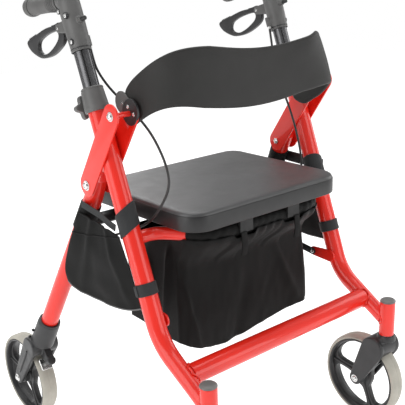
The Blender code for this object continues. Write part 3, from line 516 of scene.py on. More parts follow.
def flowing(points, per_span=8, closed=False):
    """A smooth curve through the points."""
    points = [Vector(p) for p in points]
    count = len(points)
    path = []
    for i in range(count if closed else count - 1):
        if closed:
            p0, p1, p2, p3 = (points[(i + k) % count] for k in (-1, 0, 1, 2))
        else:
            p1, p2 = points[i], points[i + 1]
            p0 = points[i - 1] if i else p1 * 2 - p2
            p3 = points[i + 2] if i + 2 < count else p2 * 2 - p1
        for k in range(per_span):
            t = k / per_span
            path.append(
                (p1 * 2 + (p2 - p0) * t + (p0 * 2 - p1 * 5 + p2 * 4 - p3) * t * t
                 + (p1 * 3 - p0 - p2 * 3 + p3) * t ** 3) / 2
            )
    if not closed:
        path.append(points[-1])
    return path


def circle(centre, radius, count=32):
    return [(centre[0] + radius * math.cos(a), centre[1] + radius * math.sin(a)) for a in turns(count)]


def two_circle(p0, r0, p1, r1, count=20):
    """The outline of a plate that wraps one circle at each end."""
    angle = math.atan2(p1[1] - p0[1], p1[0] - p0[0])
    lean = math.acos((r0 - r1) / math.hypot(p1[0] - p0[0], p1[1] - p0[1]))
    outline = []
    for p, r, start, reach in ((p0, r0, angle + lean, 2 * math.pi - 2 * lean),
                               (p1, r1, angle - lean, 2 * lean)):
        for i in range(count):
            a = start + reach * i / (count - 1)
            outline.append((p[0] + r * math.cos(a), p[1] + r * math.sin(a)))
    return outline


FACING_X = Matrix(((0, 0, 1, 0), (1, 0, 0, 0), (0, 1, 0, 0), (0, 0, 0, 1)))


def plate(name, outlines, low, high, bevel=0.0008, steps=3):
    """Outlines of (y, z) points given thickness along X, with rounded edges."""
    curve = bpy.data.curves.new(name, "CURVE")
    curve.dimensions = "2D"
    curve.fill_mode = "BOTH"
    curve.extrude = abs(high - low) / 2 - bevel
    curve.bevel_depth = bevel
    curve.bevel_resolution = steps
    curve.offset = -bevel
    for outline in outlines:
        spline = curve.splines.new("POLY")
        spline.points.add(len(outline) - 1)
        spline.use_cyclic_u = True
        for point, (y, z) in zip(spline.points, outline):
            point.co = (y, z, 0.0, 1.0)
    guide = linked(name + "_guide", curve)
    mesh = evaluated_mesh(guide)
    bpy.data.objects.remove(guide, do_unlink=True)
    mesh.transform(Matrix.Translation(((low + high) / 2, 0, 0)) @ FACING_X)
    face_out(mesh, 1e-6)
    mesh.materials.clear()
    return sharpen(linked(name, mesh), 32)


def join(name, pieces):
    """One mesh from several."""
    bm = bmesh.new()
    for piece in pieces:
        piece.data.transform(piece.matrix_world)
        bm.from_mesh(piece.data)
        bpy.data.objects.remove(piece, do_unlink=True)
    mesh = bpy.data.meshes.new(name)
    bm.to_mesh(mesh)
    bm.free()
    return linked(name, mesh)


def evaluated_mesh(obj):
    bpy.context.view_layer.update()
    return bpy.data.meshes.new_from_object(obj.evaluated_get(bpy.context.evaluated_depsgraph_get()))


def applied(obj):
    """The object with its modifiers made part of its mesh."""
    mesh = evaluated_mesh(obj)
    obj.modifiers.clear()
    obj.data = mesh
    return obj


def cast(name, pieces, voxel=0.0012, rounds=6):
    """Overlapping solids melted into one moulded body with soft inner corners."""
    obj = join(name, pieces)
    mod = obj.modifiers.new("melt", "REMESH")
    mod.mode = "VOXEL"
    mod.voxel_size = voxel
    mod.use_smooth_shade = True
    soften = obj.modifiers.new("soften", "SMOOTH")
    soften.factor = 0.6
    soften.iterations = rounds
    obj = applied(obj)
    obj.data.shade_smooth()
    return obj


def rod(name, start, end, radius, sides=32, radius_end=None, soft=0.0006):
    """A straight turned pin with softened ends."""
    start, end = Vector(start), Vector(end)
    length = (end - start).length
    other = radius if radius_end is None else radius_end
    return lathe(name, [(0, 0), (radius, 0), (other, length), (0, length)], start, end - start, sides, soft)


def dressed(obj, look, nodes):
    """The object with its material and the frame nodes that it stands for."""
    obj.data.materials.clear()
    obj.data.materials.append(look)
    if nodes:
        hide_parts(*nodes)
    return obj


def finish(obj, body, look, *nodes, slot=None):
    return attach(dressed(obj, look, nodes), body)


def bolt(name, at, axis, radius, height, body, washer=0.0):
    """A domed screw head with a round socket, on a washer when one is given."""
    profile = [(0, 0.55), (0.36, 0.55), (0.4, 0.97), (0.55, 1), (0.85, 0.72), (1, 0.25), (1, 0), (0, 0)]
    profile = [(radius * r, washer + height * h) for r, h in profile]
    head = lathe(name, rounded(profile, radius * 0.1), at, axis, 40)
    if washer:
        rim = radius * 1.35
        ring = lathe(name + "_w", [(0, washer), (rim, washer), (rim, 0), (0, 0)], at, axis, 40, 0.0003)
        head = join(name, [head, ring])
    return finish(head, body, STEEL)


def nut(name, at, axis, radius, height, body):
    """A hexagon nut with a rounded end."""
    hexagon, dome = ([(radius * r, height * h) for r, h in profile] for profile in (
        [(0, 0.8), (0.93, 0.8), (1, 0.68), (1, 0), (0, 0)],
        [(0, 1.3), (0.35, 1.22), (0.62, 0.95), (0.7, 0.5), (0, 0.5)]))
    pieces = [lathe(name, hexagon, at, axis, 6, 0.0, 20), lathe(name + "_d", dome, at, axis, 32)]
    return finish(join(name, pieces), body, STEEL)


def rippled(bead, depth, count=72):
    """Radii along a weld bead."""
    return [bead * (1.0 + depth * math.cos(2 * math.pi * i / 3)) for i in range(count)]


def fork_arms(outline, x, bevel):
    """The two arms of a wheel fork, one on each side of the wheel's middle plane."""
    near, far = ARM_X
    return [plate("arm", [outline], x + low, x + high, bevel) for low, high in ((near, far), (-far, -near))]


def weld(name, tube_at, tube_dir, tube_r, post_at, post_dir, post_r, body, bead=0.0021):
    """A rippled bead where a tube meets the outside of a post."""
    tube_dir = Vector(tube_dir).normalized()
    post_dir = Vector(post_dir).normalized()
    u = tube_dir.orthogonal().normalized()
    v = tube_dir.cross(u)
    ahead = tube_dir - post_dir * tube_dir.dot(post_dir)
    path = []
    for a in turns(72):
        start = Vector(tube_at) + (u * math.cos(a) + v * math.sin(a)) * tube_r
        gap = start - Vector(post_at)
        gap -= post_dir * gap.dot(post_dir)
        qa, qb, qc = ahead.dot(ahead), gap.dot(ahead), gap.dot(gap) - post_r * post_r
        path.append(start + tube_dir * ((-qb + math.sqrt(max(0.0, qb * qb - qa * qc))) / qa))
    return finish(sweep(name, path, rippled(bead, 0.16), 12, True), body, RED)


# ---------------------------------------------------------------- front frame


def leg_path(s):
    top = on_leg(s, LEG_TOP_Z)
    knee = Vector((s * SIDE_X, *LEG_KNEE))
    toe = Vector((s * SIDE_X, *LEG_TOE))
    return filleted([top, knee, toe], 0.11, 28)


def resampled(path, count):
    """Points spaced evenly along a path."""
    path = [Vector(p) for p in path]
    lengths = [0.0]
    for a, b in zip(path, path[1:]):
        lengths.append(lengths[-1] + (b - a).length)
    made = []
    index = 0
    for k in range(count):
        goal = lengths[-1] * k / (count - 1)
        while index < len(path) - 2 and lengths[index + 1] < goal:
            index += 1
        span = max(1e-9, lengths[index + 1] - lengths[index])
        made.append(path[index].lerp(path[index + 1], min(1.0, (goal - lengths[index]) / span)))
    return made


for side, s in SIDES:
    path = resampled(leg_path(s), 120)
    radii = [TUBE_R * (1.0 - 0.14 * ease((i - 78) / 40.0)) for i in range(120)]
    finish(sweep("front_tube_" + side, path, radii, 56), "frame", RED, "front_leg_" + side)

    stem = Vector((s * SIDE_X, STEM_Y, 0.0))
    low, high = HOUSING_Z
    housing = lathe("stem_housing_" + side, [
        (0.0064, high), (HOUSING_R, high), (HOUSING_R, low), (0.0064, low)], stem, (0, 0, 1), 64, 0.001)
    finish(housing, "frame", RED, "caster_housing_" + side)
    cap = lathe("stem_cap_" + side, [
        (0.0, CAP_TOP_Z), (0.0085, CAP_TOP_Z - 0.0003), (0.0128, CAP_TOP_Z - 0.0015),
        (0.0156, CAP_TOP_Z - 0.0036),
        (0.0163, CAP_TOP_Z - 0.005), (0.0163, high + 0.0008), (0.0158, high + 0.0003), (0.0, high + 0.0003)],
        stem, (0, 0, 1), 64, 0.0006)
    finish(cap, "frame", CAP, "caster_cap_" + side)
    weld("stem_weld_" + side, path[-1], path[-2] - path[-1], TUBE_R * 0.86,
         stem, (0, 0, 1), HOUSING_R, "frame", 0.0017)

finish(rod("crossbar", (-0.237, *CROSSBAR), (0.237, *CROSSBAR), CROSSBAR_R, 64), "frame", RED,
       "front_crossbar")
for side, s in SIDES:
    near = min(leg_path(s), key=lambda p: (p.yz - Vector(CROSSBAR)).length)
    points = leg_path(s)
    at = points.index(near)
    along = points[min(at + 2, len(points) - 1)] - points[at - 2]
    ring = []
    for a in turns(72):
        y = CROSSBAR[0] + CROSSBAR_R * math.cos(a)
        z = CROSSBAR[1] + CROSSBAR_R * math.sin(a)
        gap = Vector((y, z)) - near.yz
        line = along.yz.normalized()
        off = min(TUBE_R * 0.97, abs(gap.x * line.y - gap.y * line.x))
        ring.append(Vector((s * (SIDE_X - math.sqrt(TUBE_R ** 2 - off ** 2)), y, z)))
    finish(sweep("crossbar_weld_" + side, ring, rippled(0.0019, 0.15), 12, True), "frame", RED)

half = [(SIDE_X - 0.004, HOOP_END_Y), (0.196, HOOP_END_Y), (0.137, -0.2), (0.1, HOOP_FRONT_Y)]
points = [(x, y, HOOP_Z) for x, y in half] + [(-x, y, HOOP_Z) for x, y in reversed(half)]
HOOP_PATH = filleted(points, 0.045, 20)
hoop = sweep("hoop_tube", HOOP_PATH, RAIL_R, 40)
finish(hoop, "frame", RED, "seat_support_tube")
for side, s in SIDES:
    ring = []
    for a in turns(48):
        y = HOOP_END_Y + RAIL_R * math.cos(a)
        z = HOOP_Z + RAIL_R * math.sin(a)
        off = (Vector((y, z)) - Vector((leg_y(z), z))).x * LEG_UP.z
        ring.append(Vector((s * (SIDE_X - math.sqrt(max(0.0, TUBE_R ** 2 - off ** 2))), y, z)))
    finish(sweep("hoop_weld_" + side, ring, 0.0017, 12, True), "frame", RED)

for side, s in SIDES:
    outline = two_circle(BACK_PIVOT, BRACKET_R, PIVOT, BRACKET_R, 40)
    inner_x = SIDE_X - TUBE_R - WELD_GAP - PLATE_T
    outer_x = SIDE_X + TUBE_R + WELD_GAP
    plates = [plate("bracket_plate", [outline], s * x, s * (x + PLATE_T), 0.0011) for x in (inner_x, outer_x)]
    tubes = [rod("spacer", (s * (inner_x + 0.002), *at), (s * (outer_x + 0.002), *at), 0.0048, 24)
             for at in (BACK_PIVOT, PIVOT)]
    finish(join("fold_plates_" + side, plates + tubes), "frame", RED, "fold_bracket_" + side)
    face = s * (outer_x + PLATE_T)
    bolt("back_bolt_" + side, (face, *BACK_PIVOT), (s, 0, 0), 0.0062, 0.0042, "frame", washer=0.0009)
    bolt("fold_bolt_" + side, (face, *PIVOT), (s, 0, 0), 0.0072, 0.0048, "frame", washer=0.001)
    nut("back_nut_" + side, (s * 0.2215, *BACK_PIVOT), (-s, 0, 0), 0.006, 0.0036, "frame")
    nut("fold_nut_" + side, (s * inner_x, *PIVOT), (-s, 0, 0), 0.0068, 0.004, "frame")

    root = (leg_y(LINK_A[1]), LINK_A[1])
    tab = plate("tab_" + side, [two_circle(root, 0.013, LINK_A, 0.01), circle(LINK_A, 0.0037)],
                s * (LINK_IN_X + 0.0066), s * (SIDE_X - TUBE_R - WELD_GAP), 0.0007)
    finish(tab, "frame", RED, "link_tab_" + side)

# ---------------------------------------------------------------- height clamps

LEG_SIDE = LEG_UP.cross(LEG_BACK)


def around_leg(s, z, r, a, h=0.0):
    """A point at radius r and angle a round the leg axis, h up from the height z. Angle 0 faces the rear."""
    return on_leg(s, z) + LEG_BACK * (r * math.cos(a)) + LEG_SIDE * (r * math.sin(a)) + LEG_UP * h


for side, s in SIDES:
    lip = (LEG_TOP_Z - CLAMP_Z) / LEG_UP.z + 0.0006
    collar = lathe("collar", [
        (POST_R + 0.0005, 0.0435), (0.0186, 0.0435), (0.0195, 0.0425), (0.0199, 0.04), (0.022, 0.011),
        (0.0227, 0.0055), (0.0227, 0.0006), (0.0221, 0.0), (TUBE_R + WELD_GAP, 0.0), (TUBE_R + WELD_GAP, lip),
        (POST_R + 0.0005, lip)], on_leg(s, CLAMP_Z), LEG_UP, 72, 0.0004)
    centre = on_leg(s, CLAMP_Z) + LEG_UP * 0.0165
    boss = lathe("boss", [
        (0, 0.0083), (0.0066, 0.0083), (0.0076, 0.0074), (0.0084, 0.006), (0.01, -0.001), (0, -0.001)],
        centre + LEG_BACK * 0.0192, LEG_BACK, 48, 0.0004)
    ribs = []
    for angle in (-1.15, 1.15):
        spine = [around_leg(s, CLAMP_Z, 0.0224 - 0.0026 * h / 0.036, angle, h)
                 for h in (0.004, 0.012, 0.022, 0.032, 0.038)]
        ribs.append(sweep("rib", flowing(spine, 5), 0.0014, 12))
    lipring = lathe("lip", [(0.0192, 0.0395), (0.0204, 0.0398), (0.0204, 0.0418), (0.019, 0.0424)],
                    on_leg(s, CLAMP_Z), LEG_UP, 64, 0.0003)
    finish(join("clamp_collar_" + side, [collar, boss, lipring, *ribs]), "frame", GREY,
           "height_clamp_" + side)

    turn = LEG_BACK.to_track_quat("Z", "Y").to_matrix()
    at = centre + LEG_BACK * 0.0385
    rings = []
    for inset, h in ((0.005, -0.006), (0.0016, -0.0059), (0.0005, -0.0053), (0.0, -0.0042), (0.0, 0.0034),
                     (0.0004, 0.0046), (0.0013, 0.0055), (0.003, 0.006), (0.0062, 0.006), (0.0074, 0.0055),
                     (0.0082, 0.0048)):
        ring = []
        grow = 1.0 - min(1.0, inset / 0.009)
        for a in turns(120):
            r = 0.0185 - inset + 0.004 * math.cos(5 * a) * grow
            ring.append(at + turn @ Vector((r * math.cos(a), r * math.sin(a), h)))
        rings.append(ring)
    star = sharpen(loft("star", rings), 40)
    stud = rod("stud", centre + LEG_BACK * 0.0222, centre + LEG_BACK * 0.035, 0.0032, 32)
    finish(join("knob_" + side, [star, stud]), "knob_" + side, GREY, "clamp_knob_" + side)
    bolt("knob_screw_" + side, at + LEG_BACK * 0.0046, LEG_BACK, 0.003, 0.0012, "knob_" + side)

# ---------------------------------------------------------------- handles

for side, s in SIDES:
    foot, head = on_leg(s, 0.665), on_leg(s, 0.874)
    rings = []
    for k in range(60):
        centre = foot.lerp(head, k / 59)
        ring = []
        for i in range(144):
            a = math.radians(2.5 * i)
            nearest = abs((math.degrees(a) % 60) - 30)
            r = POST_R - 0.0016 * (1.0 - ease((nearest - 3.8) / 4.4))
            if k in (0, 59):
                r -= 0.0006
            ring.append(centre + LEG_BACK * (r * math.cos(a)) + LEG_SIDE * (r * math.sin(a)))
        rings.append(ring)
    post = sharpen(loft("fluted_post_" + side, rings), 40)
    finish(post, "handle_" + side, ANODISED, "handle_post_" + side)
    # The flute floors get the near-black material: painted dark reflection stripes along the polished post.
    post.data.materials.append(PAINTED_SHADE)
    for face in post.data.polygons:
        off_axis = face.center - foot
        off_axis -= LEG_UP * off_axis.dot(LEG_UP)
        face.material_index = 1 if off_axis.length < POST_R - 0.0011 else 0

    base = on_leg(s, CASTING_Z)
    grip_foot = Vector((s * SIDE_X, *GRIP_FRONT))
    sleeve = lathe("sleeve", [
        (0.0, 0.1034), (0.006, 0.103), (0.0118, 0.1012), (0.016, 0.0976), (0.0188, 0.092), (0.0199, 0.083),
        (0.0201, 0.066), (0.0195, 0.03), (0.0184, 0.006), (0.0181, 0.0), (0.0, 0.0)], base, LEG_UP, 64)
    neck_path = [on_leg(s, 0.876), Vector((s * SIDE_X, leg_y(0.897) + 0.002, 0.901)),
                 grip_foot - GRIP_DIR * 0.014, grip_foot - GRIP_DIR * 0.001]
    neck = sweep("neck", flowing(neck_path, 8), [0.0187 - 0.0022 * ease(i / 24) for i in range(25)], 48)
    lug = rod("lug", (s * SIDE_X, leg_y(0.88) + 0.002, 0.8795), (s * SIDE_X, -0.0165, 0.884), 0.006, 32)
    root = (leg_y(0.872) + 0.006, 0.872)
    ear = two_circle(root, 0.013, LEVER_PIN, 0.0085, 24)
    ears = [plate("ear", [ear], s * (SIDE_X + low), s * (SIDE_X + low + 0.0036), 0.0006)
            for low in (0.0054, -0.009)]
    ferrule = ferrule_at(s)
    barrel = rod("barrel", ferrule - LEG_UP * 0.008, ferrule + LEG_UP * 0.012, 0.005, 32)
    web = rod("web", ferrule + LEG_UP * 0.002, on_leg(s, 0.85), 0.0052, 24)
    head_cast = cast("handle_head_" + side, [sleeve, neck, lug, *ears, barrel, web], 0.0011, 7)
    spigot = rod("spigot", grip_foot - GRIP_DIR * 0.024, grip_foot + GRIP_DIR * 0.0925, 0.0104, 32)
    collar = lathe("seat_ring", [(0.0179, 0.0012), (0.0186, 0.0006), (0.0186, -0.001), (0.0176, -0.0014)],
                   base, LEG_UP, 64, 0.0003)
    finish(join("handle_head_" + side, [head_cast, spigot, collar]), "handle_" + side, GREY,
           "handle_casting_" + side)
    # A black ring below the casting: painted shade for the gap between the casting and the post.
    seam = lathe("head_gap_shade_" + side, [(0.017, 0.0), (0.0188, 0.0), (0.0188, -0.0016), (0.017, -0.0016)],
                 base + LEG_UP * 0.0046, LEG_UP, 64)
    finish(seam, "handle_" + side, BLACK)
    outward = Vector((s, 0, 0))
    screws = ((0.2672, 0.006, 0.89, 0.0038), (0.2665, 0.029, 0.896, 0.0032), (0.2654, -0.004, 0.846, 0.0038))
    for index, (x, y, z, r) in enumerate(screws):
        # Each screw stands in a black disk, painted shade for the well round its head.
        profile = [(0, 0.0008), (r * 1.5, 0.0008), (r * 1.5, -0.003), (0, -0.003)]
        finish(lathe("screw_well_shade_" + side + str(index), profile, (s * x, y, z), outward, 32, 0.0002),
               "handle_" + side, BLACK)
        bolt("head_screw_" + side + str(index), (s * (x + 0.0006), y, z), outward, r, 0.0011,
             "handle_" + side)
    finish(
        rod("tension_screw_" + side, (s * SIDE_X, -0.015, 0.8836), (s * SIDE_X, -0.0262, 0.8866), 0.0038, 24),
        "handle_" + side, BLACK)
    finish(
        rod("pin_" + side, (s * (SIDE_X - 0.01), *LEVER_PIN), (s * (SIDE_X + 0.01), *LEVER_PIN), 0.0028, 32),
        "handle_" + side, STEEL)

    # Ribbed grip with a ring and a rounded end.
    profile = [(0.0112, 0.0), (0.0168, 0.0), (0.0173, 0.0012)]
    for k in range(5):
        h = 0.004 + 0.006 * k
        profile += [(0.0173 - 0.0001 * k, h), (0.0173 - 0.0001 * k, h + 0.002), (0.0149, h + 0.0028),
                    (0.0149, h + 0.0046)]
    profile += [(0.0164, 0.0345), (0.016, 0.04), (0.0154, 0.06), (0.0153, 0.085), (0.0157, 0.093),
                (0.0167, 0.099), (0.0167, 0.1008), (0.015, 0.1014), (0.015, 0.103), (0.0174, 0.1036),
                (0.0178, 0.11), (0.0177, 0.1148), (0.0166, 0.119), (0.0142, 0.1214), (0.01, 0.1224),
                (0.0, 0.1225)]
    finish(
        lathe("grip_" + side, profile + [(0.0, 0.097), (0.0112, 0.097)], grip_foot, GRIP_DIR, 80, 0.0004, 45),
        "handle_" + side, GRIP, "hand_grip_" + side)

    outer = [(0.0535, 0.875), (0.077, 0.87), (0.113, 0.863), (0.15, 0.85), (0.185, 0.836),
             (0.1765, 0.8205), (0.15, 0.81), (0.125, 0.808), (0.088, 0.8175), (0.052, 0.8385), (0.045, 0.856)]
    inner = [(0.069, 0.86), (0.088, 0.8575), (0.116, 0.8495), (0.14, 0.8375), (0.145, 0.8235),
             (0.135, 0.816), (0.115, 0.817), (0.093, 0.8265), (0.072, 0.841), (0.064, 0.852)]
    loops = [[(p.x, p.y) for p in flowing([(y, z, 0) for y, z in ring], 8, True)] for ring in (outer, inner)]
    loops.append(circle(LEVER_PIN, 0.0029))
    finish(plate("lever_loop_" + side, loops, s * (SIDE_X - 0.0048), s * (SIDE_X + 0.0048), 0.002, steps=5),
           "lever_" + side, BLACK, "brake_lever_" + side)
    for index, (y_low, y_high) in enumerate(((0.148, 0.178), (0.062, 0.086))):
        teeth = []
        for y, z in loops[0][2:34]:
            if y_low < y < y_high:
                teeth.append(
                    rod("tooth", (s * (SIDE_X - 0.0044), y, z), (s * (SIDE_X + 0.0044), y, z), 0.0013, 12))
        finish(join("lever_ridges_" + side + str(index), teeth), "lever_" + side, PAD)

# ---------------------------------------------------------------- rear legs and forks


def rear_path(s):
    top = Vector((s * SIDE_X, rear_y(PIVOT[1] + 0.014), PIVOT[1] + 0.014))
    bend = Vector((s * SIDE_X, rear_y(SPLAY_Z), SPLAY_Z))
    return filleted([top, bend, on_rear(s, REAR_LEG_END_Z)], 0.08, 20)


LINK_B = (rear_y(LINK_A[1]), LINK_A[1])
CROWN = (0.1925, 0.1975)
SHOE_DIR = Vector((0.0, -0.829, 0.559)).normalized()


def beside_rear(s, z, inwards, backwards):
    """A point beside the rear leg's axis, so far towards the walker's middle and so far behind."""
    return on_rear(s, z) + Vector((-s * inwards, backwards, 0.0))


def cable_end(s):
    return beside_rear(s, 0.262, 0.013, 0.0275)


for side, s in SIDES:
    tube = sweep("rear_tube", resampled(rear_path(s), 90), TUBE_R, 56)
    stud = rod("stud", (s * (LINK_IN_X + 0.0036), *LINK_B), (s * rear_x(LINK_B[1]), *LINK_B), 0.007, 32)
    tip = rod("tip", (s * (LINK_IN_X - 0.001), *LINK_B), (s * (LINK_IN_X + 0.008), *LINK_B), 0.0034, 24)
    profile = [(0.007, 0.006), (0.0078, 0.003), (0.0096, 0.0005), (0.0096, -0.004), (0.007, -0.004)]
    fillet = lathe("fillet", profile, (s * (rear_x(LINK_B[1]) - TUBE_R), *LINK_B), (-s, 0, 0), 48, 0.0008)
    finish(join("rear_tube_" + side, [tube, stud, tip, fillet]), "rear_frame", RED, "rear_leg_" + side)

half = rear_x(RAIL_Z) - 0.006
finish(rod("seat_rail", (-half, rear_y(RAIL_Z), RAIL_Z), (half, rear_y(RAIL_Z), RAIL_Z), RAIL_R, 48),
       "rear_frame", BLACK_PAINT, "rear_seat_rail")

for side, s in SIDES:
    axle = Vector((s * REAR_X, *REAR_AXLE))
    down = rear_down(s)
    collar = lathe("collar", [
        (0.0, 0.0), (0.023, 0.0), (0.0238, -0.004), (0.0248, -0.05), (0.025, -0.064), (0.0, -0.064)],
        on_rear(s, 0.264), -down, 64, 0.0012)
    crown = rod("crown", (s * (REAR_X - 0.0316), *CROWN), (s * (REAR_X + 0.0316), *CROWN), 0.023, 48,
                soft=0.004)
    arm = two_circle(CROWN, 0.0226, REAR_AXLE, 0.0142, 32)
    arms = fork_arms(arm, s * REAR_X, 0.0018)
    guide = rod("guide", axle + SHOE_DIR * 0.118, axle + SHOE_DIR * 0.14, 0.0095, 40)
    guide_at = axle + SHOE_DIR * 0.13
    bracket = plate("bracket", [two_circle(CROWN, 0.018, (guide_at.y, guide_at.z), 0.009, 24)],
                    s * (REAR_X - 0.0085), s * (REAR_X + 0.0085), 0.0012)
    boss = rod("boss", cable_end(s) + down * 0.02, cable_end(s), 0.007, 32, 0.0062)
    fork = cast("rear_yoke", [collar, crown, *arms, guide, bracket, boss], 0.0013, 8)
    ribs = []
    for at in (ARM_X[1], -ARM_X[1]):
        points = [Vector(CROWN).lerp(Vector(REAR_AXLE), t) for t in (0.12, 0.35, 0.6, 0.8)]
        path = [(s * (REAR_X + at), *p) for p in points]
        ribs.append(sweep("rib", path, [0.0026, 0.003, 0.0028, 0.0022], 12))
    lip = lathe("lip", [(0.0186, 0.0), (0.0226, 0.0), (0.023, -0.0014), (0.023, -0.003), (0.0186, -0.003)],
                on_rear(s, 0.266), -down, 64, 0.0004)
    shaft = rod("shaft", axle - X_AXIS * 0.0325, axle + X_AXIS * 0.0325, 0.0058, 32)
    finish(join("rear_yoke_" + side, [fork, *ribs, lip, shaft]), "rear_frame", BLACK, "rear_fork_" + side)
    bolt("rear_axle_head_" + side, axle + X_AXIS * (s * ARM_X[1]), (s, 0, 0), 0.0064, 0.004, "rear_frame",
         washer=0.0009)
    # Near-black disks on the yoke, painted shade for the inside of its holes.
    holes = ((0.1809, 0.2405, rear_x(0.2405) + 0.0246, 0.0026),
             (0.1944, 0.2213, rear_x(0.2213) + 0.0246, 0.0024),
             (0.254, 0.119, REAR_X + 0.031, 0.0032))
    for index, (y, z, x, r) in enumerate(holes):
        profile = [(0, 0.0007), (r, 0.0007), (r * 1.2, 0.0), (r * 1.2, -0.004), (0, -0.004)]
        finish(lathe("yoke_hole_shade_" + side + str(index), profile, (s * x, y, z), (s, 0, 0), 32, 0.0002),
               "rear_frame", PAINTED_SHADE)
    nut("rear_axle_nut_" + side, axle - X_AXIS * (s * ARM_X[1]), (-s, 0, 0), 0.0068, 0.0042, "rear_frame")

    centre = axle + SHOE_DIR * (WHEEL_R + 0.0018)
    across = SHOE_DIR.cross(X_AXIS)
    place = Matrix((across, SHOE_DIR.cross(across), SHOE_DIR)).transposed().to_4x4()
    rings = []
    for grow, h in ((-0.001, 0.0), (0.0, 0.0008), (0.0, 0.005), (-0.0008, 0.0058)):
        ring = []
        for sx, sy, start in ((1, 1, 0), (-1, 1, 90), (-1, -1, 180), (1, -1, 270)):
            for i in range(8):
                a = math.radians(start + 90 * i / 7)
                x = sx * 0.011 + (0.002 + grow) * math.cos(a)
                y = sy * 0.0105 + (0.002 + grow) * math.sin(a)
                ring.append(centre + place @ Vector((x, y, h)))
        rings.append(ring)
    pad = sharpen(loft("pad", rings), 40)
    plunger = rod("plunger", axle + SHOE_DIR * 0.1, axle + SHOE_DIR * 0.131, 0.0042, 32)
    finish(join("shoe_pad_" + side, [pad, plunger]), "shoe_" + side, STEEL, "brake_shoe_" + side)

# ---------------------------------------------------------------- front casters

for side, s in SIDES:
    stem = Vector((s * SIDE_X, STEM_Y, 0.0))
    hub = Vector((s * SIDE_X, *CASTER_AXLE))
    collar = lathe("collar", [(0.0, 0.2134), (0.0176, 0.2134), (0.019, 0.208), (0.0205, 0.2), (0.0, 0.2)],
                   stem, (0, 0, 1), 64, 0.0008)
    crown = rod("crown", (s * SIDE_X - 0.0312, STEM_Y + 0.015, 0.182),
                (s * SIDE_X + 0.0312, STEM_Y + 0.015, 0.182), 0.0262, 56, soft=0.004)
    arm = two_circle((STEM_Y + 0.015, 0.18), 0.0278, (hub.y, hub.z), 0.0152, 36)
    arms = fork_arms(arm, hub.x, 0.002)
    fork = cast("front_yoke", [collar, crown, *arms], 0.0013, 8)
    spindle = rod("spindle", stem + Vector((0, 0, 0.205)), stem + Vector((0, 0, 0.2815)), 0.006, 32)
    shaft = rod("shaft", hub - X_AXIS * 0.0325, hub + X_AXIS * 0.0325, 0.0058, 32)
    finish(join("front_yoke_" + side, [fork, spindle, shaft]), "front_caster_" + side, BLACK,
           "front_fork_" + side)
    for end, end_name in ((1, "_l"), (-1, "_r")):
        at = hub + X_AXIS * (end * ARM_X[1])
        bolt("front_axle_head_" + side + end_name, at, (end, 0, 0), 0.0064, 0.0038, "front_caster_" + side,
             washer=0.0009)
    washer = lathe("stem_washer_" + side,
                   [(0.0064, 0.2139), (0.015, 0.2139), (0.015, 0.2135), (0.0064, 0.2135)],
                   stem, (0, 0, 1), 48)
    finish(washer, "front_caster_" + side, STEEL)

# ---------------------------------------------------------------- wheels


# Half of a rim window's outline: radius, and degrees to one side of the window's middle.
HALF_WINDOW = [(0.0272, 30), (0.0315, 44), (0.045, 50.5), (0.059, 52.5), (0.069, 51), (0.0752, 44),
               (0.077, 33), (0.077, 16)]
WINDOW = [(0.0262, 0)] + HALF_WINDOW + [(0.077, 0)] + [(r, -turn) for r, turn in reversed(HALF_WINDOW)]


